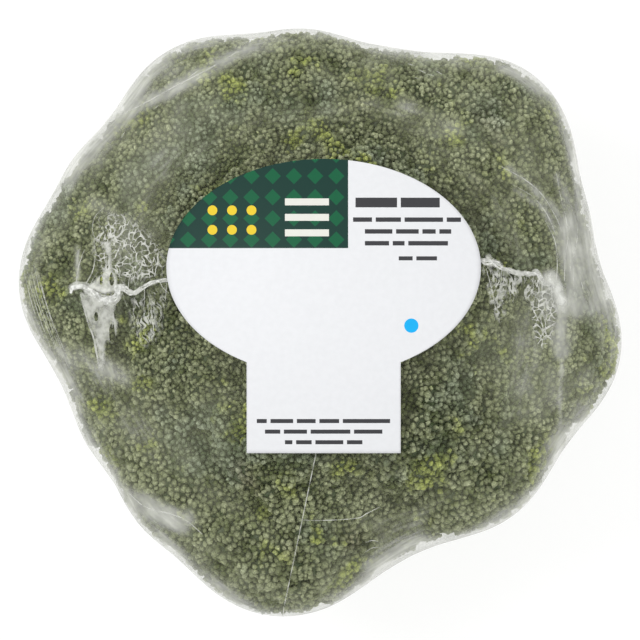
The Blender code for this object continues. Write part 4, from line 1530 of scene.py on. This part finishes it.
# %% Draw the straight seam down the front
SEAM_RADIUS = 0.12 * MM
SEAM_START = (-0.6 * MM, -31.0 * MM)
SEAM_END = (-8.9 * MM, -71.0 * MM)
SEAM_LOWEST = 2.6
SEAM_STEPS = (60, 50)

seam_path = []
for share in np.linspace(0, 1, SEAM_STEPS[0]):
    x = SEAM_START[0] + (SEAM_END[0] - SEAM_START[0]) * share
    y = SEAM_START[1] + (SEAM_END[1] - SEAM_START[1]) * share
    seam_path.append((x, y, film_height(x, y)))
turn = math.atan2(SEAM_END[1], SEAM_END[0])
last_polar = math.atan2(math.hypot(*SEAM_END), seam_path[-1][2] - FILM_MIDDLE.z)
for lower in np.linspace(last_polar, SEAM_LOWEST, SEAM_STEPS[1])[1:]:
    ray = Vector((math.sin(lower) * math.cos(turn), math.sin(lower) * math.sin(turn), math.cos(lower)))
    hit = film_tree.ray_cast(FILM_MIDDLE, ray)
    if hit[0]:
        seam_path.append(tuple(hit[0]))
seam_path = np.array(seam_path)
points, faces = tube_along(seam_path, np.full(len(seam_path), SEAM_RADIUS), 6, 0.2, 0.3)
piece_of("front_seam", points, faces, strand_finish)
print("The seam is", round(np.linalg.norm(np.diff(seam_path, axis=0), axis=1).sum() / MM), "mm long")

# %% [markdown]
# ## Label
#
# The label is coated paper with a rounded top and a straight foot. The model's label has
# the size and the bend, but a coarse outline. It could be subdivided. Its bend is a large
# sphere, though, that is found again by least squares, so a finer grid is drawn to the
# same outline and laid on that sphere.

# %% Find the label's bend
low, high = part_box("label")
label_width = high.x - low.x
label_middle = (high.x + low.x) / 2
label_points = vertex_array(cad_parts["label"].data)
known = np.concatenate([2 * label_points, np.ones((len(label_points), 1))], axis=1)
answer = np.linalg.lstsq(known, (label_points**2).sum(axis=1), rcond=None)[0]
bend_middle = answer[:3]
bend_radius = math.sqrt(answer[3] + bend_middle @ bend_middle)
print("The label bends to a radius of", round(bend_radius / MM, 1), "mm")

# %% Cut the paper
LABEL_ROUND_HEIGHT = 53.3 * MM
LABEL_FOOT_WIDTH = 37.8 * MM
LABEL_COLUMNS = 64
LABEL_ROWS = 110
ALMOST_TOP = 0.99995


def label_half_width(y):
    round_middle = high.y - LABEL_ROUND_HEIGHT / 2
    share = min(max((y - round_middle) / (LABEL_ROUND_HEIGHT / 2), -1), 1)
    rounded = label_width / 2 * math.sqrt(1 - share * share)
    return max(rounded, LABEL_FOOT_WIDTH / 2) if y < round_middle else rounded


def label_height(x, y):
    flat = (x - bend_middle[0])**2 + (y - bend_middle[1])**2
    return bend_middle[2] + math.sqrt(bend_radius**2 - flat)


points, faces = [], []
for row in range(LABEL_ROWS + 1):
    share = math.sin(row / LABEL_ROWS * math.pi / 2)
    y = low.y + (high.y - low.y) * min(share, ALMOST_TOP)
    half = label_half_width(y)
    for column in range(LABEL_COLUMNS + 1):
        x = label_middle + half * (2 * column / LABEL_COLUMNS - 1)
        points.append((x, y, label_height(x, y)))
for row in range(LABEL_ROWS):
    for column in range(LABEL_COLUMNS):
        a = row * (LABEL_COLUMNS + 1) + column
        faces.append((a, a + 1, a + LABEL_COLUMNS + 2, a + LABEL_COLUMNS + 1))
print("The paper has", len(faces), "faces")

# %% [markdown]
# The print could be an image, but a few boxes and dots are easy to draw with nodes, and
# stay sharp at any size. A box is where the distance from its middle, side by side, is
# less than half its size. Rows of dark bars fill the right and the foot. A green field
# with a lattice of diamonds, six dots and three pale bars fills the upper left.

# %% Start the paper's finish
PAPER = (0.776, 0.785, 0.804)

paper_finish, tree, shader = new_finish("printed_paper", PAPER, 0.50)
shader.inputs["Specular IOR Level"].default_value = 0.25
coords = add(tree, "ShaderNodeTexCoord").outputs["Object"]
across, along, _ = add(tree, "ShaderNodeSeparateXYZ", Vector=coords).outputs
across = math_node(tree, "MULTIPLY", across, 1 / MM)
along = math_node(tree, "MULTIPLY", along, 1 / MM)
print("The paper's finish starts with", len(tree.nodes), "nodes")

# %% Make shapes to print
BAR_GAP = 0.9


def distance_from(place, middle):
    return math_node(tree, "ABSOLUTE", math_node(tree, "SUBTRACT", place, middle))


def past_side(place, low, high):
    """How far past the nearer end of low..high: negative between them."""
    return math_node(tree, "SUBTRACT", distance_from(place, (low + high) / 2), (high - low) / 2)


def printed_box(left, right, bottom, top):
    """1 inside a box given in mm, 0 outside."""
    outside = math_node(tree, "MAXIMUM", past_side(across, left, right), past_side(along, bottom, top))
    return math_node(tree, "LESS_THAN", outside, 0.0)


def printed_dot(x, y, radius):
    squares = [math_node(tree, "POWER", distance_from(*pair), 2.0) for pair in ((across, x), (along, y))]
    return math_node(tree, "LESS_THAN", math_node(tree, "ADD", *squares), radius * radius)


def inked(shapes, below, ink):
    """The colour below with every shape printed over it in one ink."""
    covered = shapes[0]
    for mask in shapes[1:]:
        covered = math_node(tree, "MAXIMUM", covered, mask)
    return blend_colour(tree, covered, below, (*ink, 1))


def bar_row(left, right, y, height, pieces):
    """A row of short bars of uneven lengths."""
    cuts = np.sort(draw.random(pieces - 1)) * 0.5 + np.arange(1, pieces) / pieces * 0.5
    stops = [0.0, *cuts, 1.0]
    wide = right - left
    return [printed_box(left + wide * a, left + wide * b - BAR_GAP * (b < 1), y - height / 2, y + height / 2)
            for a, b in zip(stops, stops[1:])]


print("Boxes, dots and rows of bars can be printed")

# %% Print the label and lay it down
DARK_INK = (0.045, 0.045, 0.05)
DEEP_GREEN = (0.006, 0.040, 0.030)
LEAF_GREEN = (0.004, 0.110, 0.045)
CREAM = (0.76, 0.76, 0.70)
YELLOW = (0.80, 0.58, 0.03)
BLUE = (0.0, 0.42, 0.86)
FIELD = (-45.0, 6.9, 17.5, 45.0)
DIAMOND_STEP = 2.6
DIAMOND_SIZE = 2.0
# Each row is its left and right end, its height on the paper, its thickness and its bars.
DARK_ROWS = (
    (8.7, 29.4, 28.7, 2.4, 2), (8.1, 34.6, 24.5, 1.1, 4), (11.0, 32.2, 21.6, 1.1, 4),
    (11.0, 31.4, 18.7, 1.1, 3), (19.3, 28.7, 15.0, 1.0, 2), (-15.5, 17.2, -24.9, 1.0, 5),
    (-13.5, 15.3, -27.5, 1.0, 4), (-8.6, 10.4, -30.1, 1.0, 4),
)
PAPER_THICKNESS = 0.20 * MM


def zigzag(place):
    """Rises and falls along one direction, in steps of half a diamond's spacing."""
    return math_node(tree, "PINGPONG", math_node(tree, "ADD", place, 100.0), DIAMOND_STEP)


paper_grain = ease(tree, grain(tree, 700, 3), 0.2, 0.8, 0.965, 1.0)
field = printed_box(*FIELD)
diamonds = math_node(tree, "ADD", zigzag(across), zigzag(along))
diamonds = math_node(tree, "LESS_THAN", diamonds, DIAMOND_SIZE)
green = blend_colour(tree, diamonds, (*DEEP_GREEN, 1), (*LEAF_GREEN, 1))
colour = blend_colour(tree, field, (*PAPER, 1), green)
colour = inked([printed_box(-8.6, 2.2, y, y + 1.7) for y in (20.4, 24.2, 28.0)], colour, CREAM)
colour = inked([printed_dot(x, y, 1.2) for x in (-26.4, -21.6, -16.8) for y in (22.0, 26.8)], colour, YELLOW)
colour = inked([bar for row in DARK_ROWS for bar in bar_row(*row)], colour, DARK_INK)
colour = inked([printed_dot(22.4, -1.5, 1.75)], colour, BLUE)
tree.links.new(shaded(tree, colour, paper_grain), shader.inputs["Base Color"])
bump(tree, shader, grain(tree, 1600, 2), 0.00005, 0.3)
label = piece_of("paper_label", points, faces, paper_finish)
body = label.modifiers.new("paper", "SOLIDIFY")
body.thickness = PAPER_THICKNESS
body.offset = -1
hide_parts("label")
print("The label is", round(label_width / MM, 1), "mm wide")

# %% [markdown]
# ## Done
#
# Last, the scene is brought up to date. The dressed model has to stay inside the CAD
# model's box.

# %% Bring the scene up to date
bpy.context.view_layer.update()
